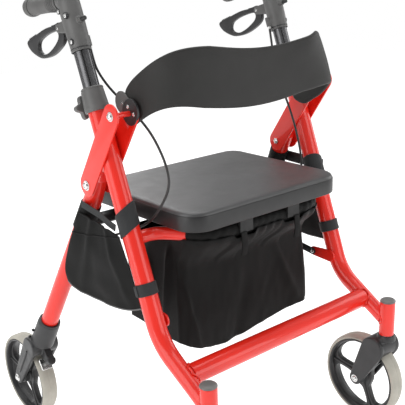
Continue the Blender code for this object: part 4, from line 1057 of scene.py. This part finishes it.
def wheel(prefix, side, centre):
    body = prefix + "_wheel_" + side
    w = TYRE_W / 2
    half = [(RIM_R, w - 0.0018), (0.0874, w - 0.0005), (0.0888, w), (0.0906, w - 0.0007),
            (0.0923, w - 0.0024),
            (0.0938, w - 0.0052), (0.0947, w - 0.0082), (WHEEL_R, w - 0.0125)]
    profile = half + [(0.09488, 0.0022), (0.0944, 0.0014), (0.0944, -0.0014), (0.09488, -0.0022)]
    profile += [(r, -h) for r, h in reversed(half)]
    finish(lathe("tyre_" + body, profile, centre, (1, 0, 0), 128, 0.0006, 40), body, RUBBER,
           prefix + "_tyre_" + side)

    windows = [circle((0.0, 0.0), 0.0806, 128)]
    for k in range(3):
        mid = 2 * math.pi * k / 3 + math.radians(68)
        corners = [(r, mid + math.radians(a)) for r, a in WINDOW]
        outline = [(r * math.cos(a), r * math.sin(a), 0.0) for r, a in corners]
        windows.append([(p.x, p.y) for p in flowing(outline, 6, True)])
    web = plate("web", windows, -0.0064, 0.0064, 0.0016)
    hub_profile = [(0.0064, 0.0205), (0.0148, 0.0205), (0.0156, 0.0196), (0.0162, 0.01), (0.019, 0.0068),
                   (0.019, -0.0068), (0.0162, -0.01), (0.0156, -0.0196), (0.0148, -0.0205), (0.0064, -0.0205)]
    hub = lathe("hub", hub_profile, (0, 0, 0), (1, 0, 0), 64, 0.0005)
    edge = RIM_R - 0.0005
    ring = lathe("ring",
                 [(0.0792, 0.0058), (0.0796, 0.0075), (0.0804, 0.012), (0.0812, w - 0.0032),
                  (0.082, w - 0.0016),
                          (0.085, w - 0.0014), (edge, w - 0.0022), (edge, 0.0022 - w), (0.085, 0.0014 - w),
                          (0.082, 0.0016 - w), (0.0812, 0.0032 - w), (0.0804, -0.012), (0.0796, -0.0075),
                          (0.0792, -0.0058)], (0, 0, 0), (1, 0, 0), 128, 0.0005)
    spokes = []
    for k in range(3):
        a = 2 * math.pi * k / 3 + math.radians(8)
        for face in (0.0062, -0.0062):
            line = [(face, r * math.cos(a), r * math.sin(a)) for r in (0.015, 0.032, 0.055, 0.079)]
            spokes.append(sweep("spine", line, [0.0042, 0.0026, 0.0024, 0.0036], 16))
    rim = join("rim_" + body, [web, hub, ring, *spokes])
    rim.data.transform(Matrix.Translation(centre))
    finish(rim, body, BLACK, prefix + "_rim_" + side, slot="black_metal")
    for end, end_name in ((1, "_l"), (-1, "_r")):
        profile = [(0.0062, 0.0009), (0.0112, 0.0009), (0.0112, 0.0), (0.0062, 0.0)]
        at = Vector(centre) + X_AXIS * (end * 0.0204)
        finish(lathe("bearing_" + body + end_name, profile, at, (end, 0, 0), 48, 0.0002), body, STEEL)


for side, s in SIDES:
    wheel("front", side, Vector((s * SIDE_X, *CASTER_AXLE)))
    wheel("rear", side, Vector((s * REAR_X, *REAR_AXLE)))

# ---------------------------------------------------------------- side links

for side, s in SIDES:
    a, b = Vector(LINK_A), Vector(LINK_B)
    knee_a = a + LINK_LEN * Vector((math.cos(LINK_REST), math.sin(LINK_REST)))
    knee_b = b + LINK_LEN * Vector((-math.cos(LINK_REST), math.sin(LINK_REST)))
    bar = plate("front_link", [two_circle(a, 0.0075, knee_a, 0.0075, 32)], s * (LINK_IN_X + 0.0032),
                s * (LINK_IN_X + 0.0062), 0.0007)
    peg = rod("peg", (s * (LINK_IN_X + 0.004), *LINK_A), (s * (LINK_IN_X + 0.0095), *LINK_A), 0.0033, 24)
    finish(join("front_link_bar_" + side, [bar, peg]), "front_link_" + side, BLACK_PAINT,
           "front_side_link_" + side)
    bolt("front_link_rivet_" + side, (s * (LINK_IN_X + 0.0032), *LINK_A), (-s, 0, 0), 0.004, 0.0016,
         "front_link_" + side)
    bar = plate("rear_link_bar_" + side, [two_circle(b, 0.0078, knee_b, 0.0075, 32), circle(b, 0.0038)],
                s * (LINK_IN_X - 0.0002), s * (LINK_IN_X + 0.0028), 0.0007)
    finish(bar, "rear_link_" + side, BLACK_PAINT, "rear_side_link_" + side)
    bolt("knee_rivet_" + side, (s * (LINK_IN_X - 0.0002), *knee_b), (-s, 0, 0), 0.0044, 0.0018,
         "rear_link_" + side)
    bolt("rear_link_rivet_" + side, (s * (LINK_IN_X - 0.0006), *LINK_B), (-s, 0, 0), 0.0044, 0.0018,
         "rear_frame")

# ---------------------------------------------------------------- seat


CORNER_N = 14
EDGE_N = 18


def seat_outline(inset):
    """Rounded rectangle of (x, y), with softer corners at the front."""
    half = SEAT_HALF - inset
    lo, hi = SEAT_Y[0] + inset, SEAT_Y[1] - inset
    arcs = []
    corners = ((half, hi, 0.03, 0), (-half, hi, 0.03, 90), (-half, lo, 0.045, 180), (half, lo, 0.045, 270))
    for cx, cy, r, start in corners:
        r = max(0.004, r - inset * 0.5)
        sx, sy = (1 if cx > 0 else -1), (1 if cy == hi else -1)
        angles = [math.radians(start + 90 * i / (CORNER_N - 1)) for i in range(CORNER_N)]
        arcs.append([(cx - sx * r + r * math.cos(a), cy - sy * r + r * math.sin(a)) for a in angles])
    ring = []
    for arc, following in zip(arcs, arcs[1:] + arcs[:1]):
        (ax, ay), (bx, by) = arc[-1], following[0]
        ring += arc + [(ax + (bx - ax) * k / EDGE_N, ay + (by - ay) * k / EDGE_N) for k in range(1, EDGE_N)]
    return ring


mid_y = sum(SEAT_Y) / 2
levels = [(0.014, 0.5315), (0.0045, 0.5312), (0.0016, 0.5317), (0.0004, 0.5328), (0.0, 0.5345), (0.0, 0.542),
          (0.0, 0.55), (0.0002, 0.5532), (0.0009, 0.556), (0.0022, 0.5581), (0.0041, 0.5595),
          (0.0068, 0.5603),
          (0.0105, 0.5608), (0.016, 0.5611)]
rings = [[Vector((x, y, z)) for x, y in seat_outline(inset)] for inset, z in levels]
edge = rings[-1]
for t in (0.06, 0.13, 0.21, 0.3, 0.4, 0.5, 0.6, 0.7, 0.8, 0.88, 0.95, 0.985):
    ring = []
    for p in edge:
        q = p.lerp(Vector((0, mid_y, p.z)), t)
        q.z += 0.003 * (1 - (1 - t) ** 2.2) + 0.0005 * noise.noise(Vector((q.x * 14, q.y * 14, 3.1)))
        ring.append(q)
    rings.append(ring)
cushion = loft("seat_pad", rings)
finish(cushion, "seat", VINYL, "seat_cushion")

seam = [Vector((x, y, 0.534)) for x, y in seat_outline(0.0002)]
finish(sweep("seat_seam", seam, 0.0006, 10, True), "seat", VINYL)

# The strip of covering round the edge, wrapped down over the rim of the board, in the darker vinyl copy that
# paints shade on the cushion's sides.
profile = [(0.0036, 0.5238), (0.001, 0.5238), (-0.0004, 0.5246), (-0.0008, 0.526), (-0.0008, 0.54),
           (-0.0008, 0.5515),
           (-0.0004, 0.553), (0.0006, 0.554), (0.0012, 0.553), (0.0012, 0.533), (0.0036, 0.531)]
loops = [[(x, y, z) for x, y in seat_outline(inset)] for inset, z in profile]
finish(loft("seat_boxing", loops, True), "seat", SHADED_VINYL)
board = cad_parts["seat_board"]
board.data.materials.clear()
board.data.materials.append(BOARD)

# ---------------------------------------------------------------- backrest

BAND_W = 0.216
BAND_T = 0.0096
BAND_SQUARE = 3.9
BAND_FACE_N = 24


def band_point(angle):
    """Centre of the band at an angle of the half turn, and its half height."""
    c, sn = math.cos(angle), math.sin(angle)
    x = -BAND_W * math.copysign(abs(c) ** (2 / BAND_SQUARE), c)
    forward = abs(sn) ** (2 / BAND_SQUARE)
    bow = 1 - (x / BAND_W) ** 2
    y = -0.0763 - 0.1515 * forward + 0.0215 * bow
    z = 0.7235 + 0.095 * forward - 0.0455 * bow
    return Vector((x, y, z)), 0.044 + 0.0085 * min(1.0, bow * 1.6)


def band_lean(centre, share):
    """How far the left end leans in at its top, share 1, and flares at its bottom, share 0."""
    forward = (-0.0763 - centre.y) / 0.1515
    top = Vector((-0.023, 0.019, 0.001)) * (share ** 1.3 * ease(forward / 0.45))
    flare = Vector((0.011 * ease((forward - 0.35) / 0.35), -0.006 * ease(forward / 0.3), 0.0))
    sag = Vector((0.0, 0.0, -0.02 * ease(forward / 0.3) * (1 - 0.7 * ease((forward - 0.45) / 0.3))))
    return ease((centre.x - 0.1) / 0.1) * (top + (flare + sag) * (1 - share))


def band_stations(count):
    """Centres and half heights, spaced evenly along the band."""
    dense = []
    for i in range(4001):
        t = -1.0 + 2.0 * i / 4000
        dense.append(band_point(math.pi / 2 * (1.0 + 0.999 * math.copysign(t * t, t))))
    lengths = [0.0]
    for (a, _), (b, _) in zip(dense, dense[1:]):
        lengths.append(lengths[-1] + (b - a).length)
    at = np.interp(np.linspace(0, lengths[-1], count), lengths, np.arange(len(lengths)))
    return [dense[int(round(i))] for i in at], lengths[-1]


BAND_UP = Vector((0.0, -0.174, 1.0))
stations, band_length = band_stations(170)


def band_frame(index):
    centre, half = stations[index]
    low, high = max(index - 2, 0), min(index + 2, len(stations) - 1)
    ahead = stations[high][0] - stations[low][0]
    out = Vector((ahead.y, -ahead.x, 0.0)).normalized()
    from_end = min(index, len(stations) - 1 - index) * band_length / (len(stations) - 1)
    t = min(1.0, (from_end + 0.001) / 0.036)
    return centre, half * (0.6 + 0.4 * math.sqrt(1 - (1 - t) ** 2)), out, from_end


rings = []
for index in range(len(stations)):
    centre, half, out, from_end = band_frame(index)
    thick = BAND_T / 2 * (0.55 + 0.45 * ease(from_end / 0.008))
    ring = []
    straight = half - thick
    for sign in (1, -1):
        flat = [2 * straight * k / (BAND_FACE_N - 1) - straight for k in range(BAND_FACE_N)]
        ring += [(sign * u, sign * thick) for u in flat]
        for k in range(1, 10):
            a = sign * math.pi / 2 - math.pi * k / 10
            ring.append((sign * straight + thick * math.cos(a), thick * math.sin(a)))
    made = []
    for u, v in ring:
        share = abs(u) / half
        plump = 0.0011 * (1 - share ** 4)
        groove = 0.0009 * math.exp(-((half - STITCH_INSET - abs(u)) / 0.0011) ** 2)
        wave = 0.0006 * noise.noise(Vector((index * 0.06, u * 30, 1.7)))
        v += math.copysign(plump - groove + (wave if abs(v) > thick * 0.8 else 0),
                           v) if abs(v) > thick * 0.3 else 0
        made.append(
            centre + BAND_UP * u + out * v + band_lean(centre, min(1.0, max(0.0, (u / half + 1) / 2))))
    rings.append(made)
band = loft("back_sleeve", rings)
finish(band, "backrest", KNIT, "backrest_band")


def stitches(name, points, out, length, gap, radius):
    """Short raised threads along a line, each lying on the cloth."""
    path = resampled(points, max(3, int(sum((b - a).length for a, b in zip(points, points[1:])) / gap)))
    made = []
    for index, (a, b) in enumerate(zip(path, path[1:])):
        lift = out[min(len(out) - 1, int(index * len(out) / len(path)))]
        start, end = a.lerp(b, 0.5 - length / gap / 2), a.lerp(b, 0.5 + length / gap / 2)
        mid = (start + end) / 2 + lift * radius * 0.9
        made.append(sweep("stitch", [start, mid, end], [radius * 0.6, radius, radius * 0.6], 6))
    return finish(join(name, made), "backrest", SEAM)


for edge_name, sign in (("top", 1), ("bottom", -1)):
    line, lifts = [], []
    for index in range(8, len(stations) - 8):
        centre, half, out, _ = band_frame(index)
        up = sign * (half - STITCH_INSET)
        line.append(
            centre + BAND_UP * up + out * (BAND_T / 2 - 0.0004) + band_lean(centre, (up / half + 1) / 2))
        lifts.append(out)
    stitches("back_stitch_" + edge_name, line, lifts, 0.0034, 0.005, 0.00035)

for side, s in SIDES:
    outline = two_circle(BACK_PIVOT, 0.013, (-0.085, 0.744), 0.02, 40)
    finish(plate("back_plate_" + side, [outline, circle(BACK_PIVOT, 0.0043)], s * 0.2218, s * 0.2243, 0.0006),
           "backrest", GREY, "backrest_plate_" + side)
    for index, (y, z) in enumerate(((-0.085, 0.7438), (-0.0984, 0.7288))):
        bolt("back_rivet_" + side + str(index), (s * 0.2243, y, z), (s, 0, 0), 0.0034, 0.0002, "backrest")

# A dark cover over the head of each inner bracket, with two screws.
for side, s in SIDES:
    reach = 0.0215 if s < 0 else 0.015
    cover = plate("bracket_cover_" + side, [two_circle((-0.118, 0.733), reach, (-0.115, 0.729), reach, 32)],
                  s * 0.2256, s * 0.2302, 0.0008)
    finish(cover, "frame", BLACK)
    for index, (y, z) in enumerate(((-0.112, 0.74), (-0.127, 0.7285))):
        bolt("cover_screw_" + side + str(index), (s * 0.2302, y, z), (s, 0, 0), 0.0036, 0.0014, "frame")

# ---------------------------------------------------------------- bag

arc = [p for p in resampled(HOOP_PATH, 400) if abs(p.x) <= 0.16]
arc = resampled(arc, 121)


def bottom_z(x, y):
    """Height of the bag's lower edge, sagging most a little right of the middle at the front."""
    front = float(np.interp(x, (-0.172, -0.14, -0.1, -0.063, -0.02, 0.05, 0.11, 0.172),
                            (0.2758, 0.26, 0.2475, 0.2423, 0.2455, 0.2553, 0.2625, 0.2693)))
    rear = 0.284 - 0.014 * (1 - (x / 0.172) ** 2)
    return front + (rear - front) * ease((y - BAG_Y[0]) / (BAG_Y[1] - BAG_Y[0]))


def crease(value, at, width, depth):
    return depth * math.exp(-((value - at) / width) ** 2)


FRONT_N = 121
SIDE_N = 40
BACK_N = 80


def bag_ring(level):
    """One closed loop of the bag at a share of its height, 0 at the top and 1 at the lower edge."""
    ring = []
    spread = 1 - ease(level / 0.3)
    for i in range(FRONT_N):
        t = i / (FRONT_N - 1)
        over = arc[i]
        before, after = arc[max(i - 1, 0)], arc[min(i + 1, FRONT_N - 1)]
        ahead = (after - before).normalized()
        out = Vector((-ahead.y, ahead.x, 0)) if ahead.x < 0 else Vector((ahead.y, -ahead.x, 0))
        x = BAG_X - 2 * BAG_X * t
        corner = ease((abs(x) - (BAG_X - 0.022)) / 0.022)
        under = Vector((x * (1 - 0.01 * corner), BAG_Y[0] + 0.012 * corner * corner, 0))
        top = over + out * 0.015
        p = under.lerp(Vector((top.x, top.y, 0)), spread)
        low = bottom_z(x, BAG_Y[0])
        rim = BAG_TOP_Z - 0.008 * ease((0.03 - abs(abs(x) - 0.062)) / 0.01)
        z = rim + (low - rim) * level
        bulge = 0.01 * math.sin(math.pi * min(1.0, level * 1.02)) * (1 - (x / BAG_X) ** 4)
        drop = x + 0.155 + 0.25 * (z - 0.36)
        fold_a = crease(x - 0.085 + 0.45 * (z - 0.4), 0.0, 0.01,
                        0.0055) * ease(level * 1.6) * ease((1.15 - level) * 2)
        fold_b = crease(drop, 0.0, 0.008, 0.005) * ease(level * 3)
        fold_c = crease(x + 0.02 - 0.2 * (z - 0.3), 0.0, 0.016, 0.004) * ease((level - 0.25) * 2)
        ripple = 0.002 * noise.noise(Vector((x * 22, z * 9, 4.0)))
        ripple += 0.0011 * noise.noise(Vector((x * 60, z * 26, 9.0)))
        gather = 0.0016 * math.sin(x * 230 + 2 * math.sin(x * 40)) * math.exp(-level * 9)
        p.y -= bulge * 0.6 + (fold_a + fold_b - fold_c + ripple) * min(1.0, level * 5) + gather
        flare = ease((p.x - 0.1) / 0.07) * ease(level * 1.1)
        ring.append(Vector((p.x + 0.012 * flare, p.y - 0.006 * flare, z)))
    start, end = ring[-1].copy(), ring[0].copy()
    y_back = BAG_Y[1]

    def side_point(corner, sx, t):
        """A point on one side, t of the way to the back, and the share of its folds that it may have."""
        y = corner.y + (y_back - corner.y) * t
        top_z = BAG_TOP_Z + (BAG_BACK_Z - BAG_TOP_Z) * ease(t * 2)
        z = top_z + (bottom_z(sx * BAG_X, y) - top_z) * level
        return corner.x + (sx * BAG_X - corner.x) * ease(t * 3), y, z, ease(t * 6) * ease((1 - t) * 5)

    late = ease(level * 4) * ease((1.05 - level) * 2.4)
    for i in range(1, SIDE_N):
        x, y, z, free = side_point(start, -1, i / SIDE_N)
        folds = crease(y + 0.118 + 0.15 * (z - 0.42), 0.0, 0.0075, 0.008) * late
        folds += crease(y + 0.06 - 0.1 * (z - 0.4), 0.0, 0.012, 0.0045) * ease(level * 3)
        folds += 0.0018 * noise.noise(Vector((y * 30, z * 16, 7.0)))
        ring.append(Vector((x - folds * free, y, z)))
    for i in range(BACK_N):
        x = -BAG_X + 2 * BAG_X * i / (BACK_N - 1)
        z = BAG_BACK_Z + (bottom_z(x, y_back) - BAG_BACK_Z) * level
        ripple = 0.0022 * noise.noise(Vector((x * 20, z * 10, 14.0)))
        slack = 0.007 * math.sin(math.pi * level) * (1 - (x / BAG_X) ** 4)
        ring.append(Vector((x, y_back + ripple * min(1.0, level * 5) - slack * 0.4, z)))
    for i in range(1, SIDE_N):
        x, y, z, free = side_point(end, 1, 1 - i / SIDE_N)
        folds = crease(y + 0.1 + 0.15 * (z - 0.42), 0.0, 0.0085, 0.007) * late
        folds += 0.0018 * noise.noise(Vector((y * 30, z * 16, 27.0)))
        ring.append(Vector((x + folds * free, y, z)))
    return ring


rings = [bag_ring(i / 60) for i in range(61)]
last = rings[-1]
middle = sum(last, Vector()) / len(last)
for t in (0.02, 0.05, 0.1, 0.18, 0.28, 0.4, 0.52, 0.64, 0.76, 0.87, 0.96):
    ring = []
    for p in last:
        q = p.lerp(Vector((middle.x, middle.y, 0.248)), t)
        q.z = p.z + (0.246 - p.z) * ease(t * 1.3) - 0.0035 * math.sin(math.pi * min(1.0, t * 1.1))
        q.z += 0.002 * noise.noise(Vector((q.x * 25, q.y * 25, 5.0)))
        ring.append(q)
    rings.append(ring)
bag = loft("bag_shell", rings, first_cap=False)
thick = bag.modifiers.new("cloth", "SOLIDIFY")
thick.thickness = 0.0012
thick.offset = -1.0
bag = applied(bag)
bag.data.shade_smooth()
finish(bag, "frame", NYLON, "bag")

# Fabric sleeve round the hoop, with its gathers.
rings = []
for i, point in enumerate(arc):
    ahead = (arc[min(i + 1, len(arc) - 1)] - arc[max(i - 1, 0)]).normalized()
    out = Vector((ahead.y, -ahead.x, 0.0))
    if out.y > 0:
        out = -out
    ring = []
    for a in turns(36):
        gather = 0.0005 * math.sin(i * 1.05 + 2 * math.sin(a))
        r = 0.0137 + gather + 0.0006 * noise.noise(Vector((i * 0.11, math.cos(a), math.sin(a))))
        below = max(0.0, -math.sin(a)) ** 3
        ring.append(point + out * (r * math.cos(a)) + Vector((0, 0, r * math.sin(a) - 0.003 * below)))
    rings.append(ring)
finish(loft("hoop_sleeve", rings), "frame", NYLON)

for index, x in enumerate((0.07, -0.07)):
    path = flowing([
        (x, -0.2258, 0.5), (x, -0.2262, 0.49), (x + 0.0008, -0.2268, 0.476), (x, -0.2262, 0.464),
        (x - 0.0006, -0.225, 0.455)], 6)
    finish(ribbon("bag_tab_" + str(index), path, (1, 0, 0), 0.014, 0.0022, 0.0007), "frame", NYLON)

# ---------------------------------------------------------------- side panels, bands and straps


def sheet_grid(name, top, low, shape, thickness):
    """A cloth sheet between two edges, each a list of points. shape gives a shift at (u, v)."""
    verts, faces = [], []
    rows, columns = PANEL_ROWS, PANEL_COLUMNS
    top, low = resampled(top, columns), resampled(low, columns)
    for j in range(rows):
        v = j / (rows - 1)
        verts += [top[i].lerp(low[i], v) + shape(i / (columns - 1), v) for i in range(columns)]
    for j in range(rows - 1):
        for a in range(j * columns, (j + 1) * columns - 1):
            faces.append((a, a + 1, a + columns + 1, a + columns))
    obj = mesh_object(name, verts, faces)
    mod = obj.modifiers.new("cloth", "SOLIDIFY")
    mod.thickness = thickness
    mod.offset = 0.0
    return sharpen(applied(obj), 60), verts


def soft_finish(obj, look, a, b, start, end, *nodes):
    """Gives a cloth piece or a cable that spans two bodies its material, hides the frame nodes it stands for
    and bakes its place into its mesh, without tying it to either body.
    """
    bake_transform(dressed(obj, look, nodes))


for side, s in SIDES:
    top = flowing([(s * 0.27, -0.115, 0.512), (s * 0.2722, -0.086, 0.52), (s * 0.2722, -0.0487, 0.5255),
                   (s * 0.2715, -0.0079, 0.529), (s * 0.2735, 0.017, 0.532)], 8)
    low = flowing([(s * 0.261, -0.16, 0.385), (s * 0.2695, -0.1253, 0.3745), (s * 0.2755, -0.07, 0.369),
                   (s * 0.28, -0.0055, 0.371), (s * 0.287, 0.033, 0.3765), (s * 0.2885, 0.054, 0.385)], 8)

    def billow(u, v):
        edge = math.sin(math.pi * u)
        sway = 0.005 * edge * math.sin(math.pi * min(1, v * 1.1))
        sway += crease(u - 0.3 + 0.2 * v, 0.0, 0.05, 0.0035) * edge
        sway += crease(u - 0.66 - 0.15 * v, 0.0, 0.06, 0.0035) * edge
        sway += 0.0022 * noise.noise(Vector((u * 5, v * 4, 2.0 + s)))
        rear = ease((u - 0.72) / 0.28)
        sway += 0.0045 * rear * math.sin(math.pi * v)
        back = 0.0135 * rear * math.sin(math.pi * v ** 2.2)
        return Vector((s * sway, back, 0.0008 * noise.noise(Vector((u * 8, v * 2, 5.0)))))

    panel, verts = sheet_grid("side_panel_" + side, top, low, billow, 0.0014)
    start = (0.0, leg_y(0.43), 0.43)
    end = (0.0, rear_y(0.43), 0.43)
    soft_finish(panel, NYLON, "frame", "rear_frame", start, end, "bag_side_panel_" + side)
    columns, last_row = PANEL_COLUMNS, PANEL_ROWS - 1
    hem = []
    for i in range(columns):
        row = last_row * 0.27 * (i / (columns - 1)) ** 0.8
        above, below = verts[int(row) * columns + i], verts[(int(row) + 1) * columns + i]
        hem.append(above.lerp(below, row - int(row)) + Vector((s * 0.0008, 0, 0)))
    for edge_name, line in (("low", verts[last_row * columns:]), ("top", verts[:columns]), ("hem", hem)):
        piping = sweep("panel_piping_" + edge_name + "_" + side, line, 0.0016, 12)
        soft_finish(piping, PIPING if edge_name == "low" else NYLON, "frame", "rear_frame", start, end)

    for label, z, half_width, tilt in (("upper", 0.54, 0.0245, 0.5), ("lower", 0.4185, 0.0115, 0.0)):
        r = TUBE_R + 0.0006
        outline = [
            (r, -half_width), (r, half_width), (r + 0.0014, half_width - 0.0004),
            (r + 0.0019, half_width - 0.0016),
            (r + 0.0016, 0.0), (r + 0.0019, 0.0016 - half_width), (r + 0.0014, 0.0004 - half_width)]
        ring = lathe("leg_band_" + label + "_" + side, outline, on_leg(s, z), LEG_UP, 72, 0.0002, 60)
        for vert in ring.data.vertices:
            spread = (vert.co - on_leg(s, z)).dot(Vector((s * 0.769, 0.639, 0.0)))
            vert.co -= LEG_UP * (tilt * spread)
        finish(ring, "frame", WEBBING, *(["bag_lower_strap_" + side] if label == "lower" else []))
        if label == "upper":
            continue
        first = -95 if s > 0 else -35
        overlap = [around_leg(s, z, r + 0.0026, math.radians(first + 10 * k)) for k in range(14)]
        finish(ribbon("band_flap_" + label + "_" + side, overlap, LEG_UP, 2 * half_width - 0.003, 0.0016),
               "frame", WEBBING)

    out = SIDE_X + TUBE_R + 0.0034
    if s > 0:
        strap_lean, strap_width = 0.0, 0.024
        line = [
            (out - 0.0012, leg_y(STRAP_Z) - 0.008, 0.5445), (out + 0.0004, -0.085, 0.545),
            (out + 0.0006, -0.04, 0.546), (rear_x(0.5475) + TUBE_R + 0.0034, rear_y(0.5475) + 0.006, 0.5475)]
    else:
        strap_lean, strap_width = 0.25, 0.014
        line = [
            (out - 0.0012, -0.1, 0.5265), (out + 0.0006, -0.0796, 0.5325), (out + 0.0008, -0.0563, 0.5405),
            (out + 0.0008, -0.023, 0.5455), (rear_x(0.55) + TUBE_R + 0.004, 0.006, 0.5505)]
    path = flowing([(s * x, y, z) for x, y, z in line], 14)
    strap = ribbon("upper_strap_" + side, path, (0, -strap_lean, 1), strap_width, 0.0018)
    soft_finish(strap, WEBBING, "frame", "rear_frame", (0, leg_y(STRAP_Z), STRAP_Z),
                (0, rear_y(STRAP_Z), STRAP_Z),
                "bag_upper_strap_" + side)

    down = rear_down(s)
    low_z, high_z = (0.495, 0.546) if s < 0 else (0.536, 0.568)
    half_width = (high_z - low_z) / 2 / abs(down.z)
    profile = [(TUBE_R + 0.0006, -half_width), (TUBE_R + 0.0006, half_width),
               (TUBE_R + 0.0022, half_width - 0.0006), (TUBE_R + 0.0022, 0.0006 - half_width)]
    finish(lathe("rear_band_" + side, profile, on_rear(s, (low_z + high_z) / 2), down, 64, 0.0003, 60),
           "rear_frame", NYLON)

# ---------------------------------------------------------------- brake cables

# The right cable bows further forward than the left, and both run down behind the rear legs.
CABLE_UPPER = {
    "right": [
        (0.2215, -0.008, 0.798), (0.213, -0.023, 0.77), (0.203, -0.048, 0.744), (0.201, -0.096, 0.718),
        (0.202, -0.14, 0.688), (0.204, -0.174, 0.648), (0.2045, -0.183, 0.612), (0.205, -0.164, 0.574),
        (0.2065, -0.121, 0.529), (0.208, -0.06, 0.498), (0.215, 0.005, 0.47), (0.228, 0.048, 0.44),
    ],
    "left": [
        (0.2215, -0.008, 0.798), (0.213, -0.021, 0.764), (0.204, -0.043, 0.728), (0.2005, -0.07, 0.693),
        (0.2005, -0.089, 0.655), (0.2005, -0.101, 0.624), (0.201, -0.111, 0.588), (0.203, -0.113, 0.556),
        (0.2065, -0.095, 0.523), (0.208, -0.05, 0.496), (0.215, 0.005, 0.47), (0.228, 0.048, 0.44),
    ],
}
CABLE_LOWER = [(0.405, 0.0175, 0.0175), (0.365, 0.014, 0.021), (0.33, 0.013, 0.0225), (0.295, 0.013, 0.0245)]
for side, s in SIDES:
    start = ferrule_at(s) - LEG_UP * 0.0085
    end = cable_end(s) - rear_down(s) * 0.0005
    knots = [start] + [Vector((s * x, y, z)) for x, y, z in CABLE_UPPER[side]]
    knots += [beside_rear(s, z, inwards, backwards) for z, inwards, backwards in CABLE_LOWER]
    knots += [end - rear_down(s) * 0.012, end]
    whole = flowing(knots, 12)
    cut = 12 * 7
    upper, lower = (sweep("cable_" + end_name + "_" + side, path, CABLE_R, 20)
                    for end_name, path in (("upper", whole[:cut + 1]), ("lower", whole[cut:])))
    soft_finish(upper, CABLE, "handle_" + side, "frame", start, (start.x, -0.15, 0.66), "brake_cable_" + side)
    soft_finish(lower, CABLE, "frame", "rear_frame", (0, -0.12, 0.53), (0, 0.085, 0.41))
    finish(rod("cable_ferrule_" + side, start - LEG_UP * 0.004, start + LEG_UP * 0.008, 0.0036, 24),
           "handle_" + side, STEEL)
    down = rear_down(s)
    finish(rod("cable_end_" + side, cable_end(s) + down * 0.001, cable_end(s) - down * 0.0095, 0.0037, 24),
           "rear_frame", STEEL)

# ---------------------------------------------------------------- floor

floor = mesh_object("floor", [(-6, -6, 0), (6, -6, 0), (6, 6, 0), (-6, 6, 0)], [(0, 1, 2, 3)])
look = Look("studio_floor", (0.5, 0.5, 0.5), 0.9)
look.tint(look.noise(1.5, 2.0), 0.995, 1.0)
look.set({"Emission Color": (1.0, 1.0, 1.0, 1.0), "Emission Strength": 0.9})
floor.data.materials.append(look.material)
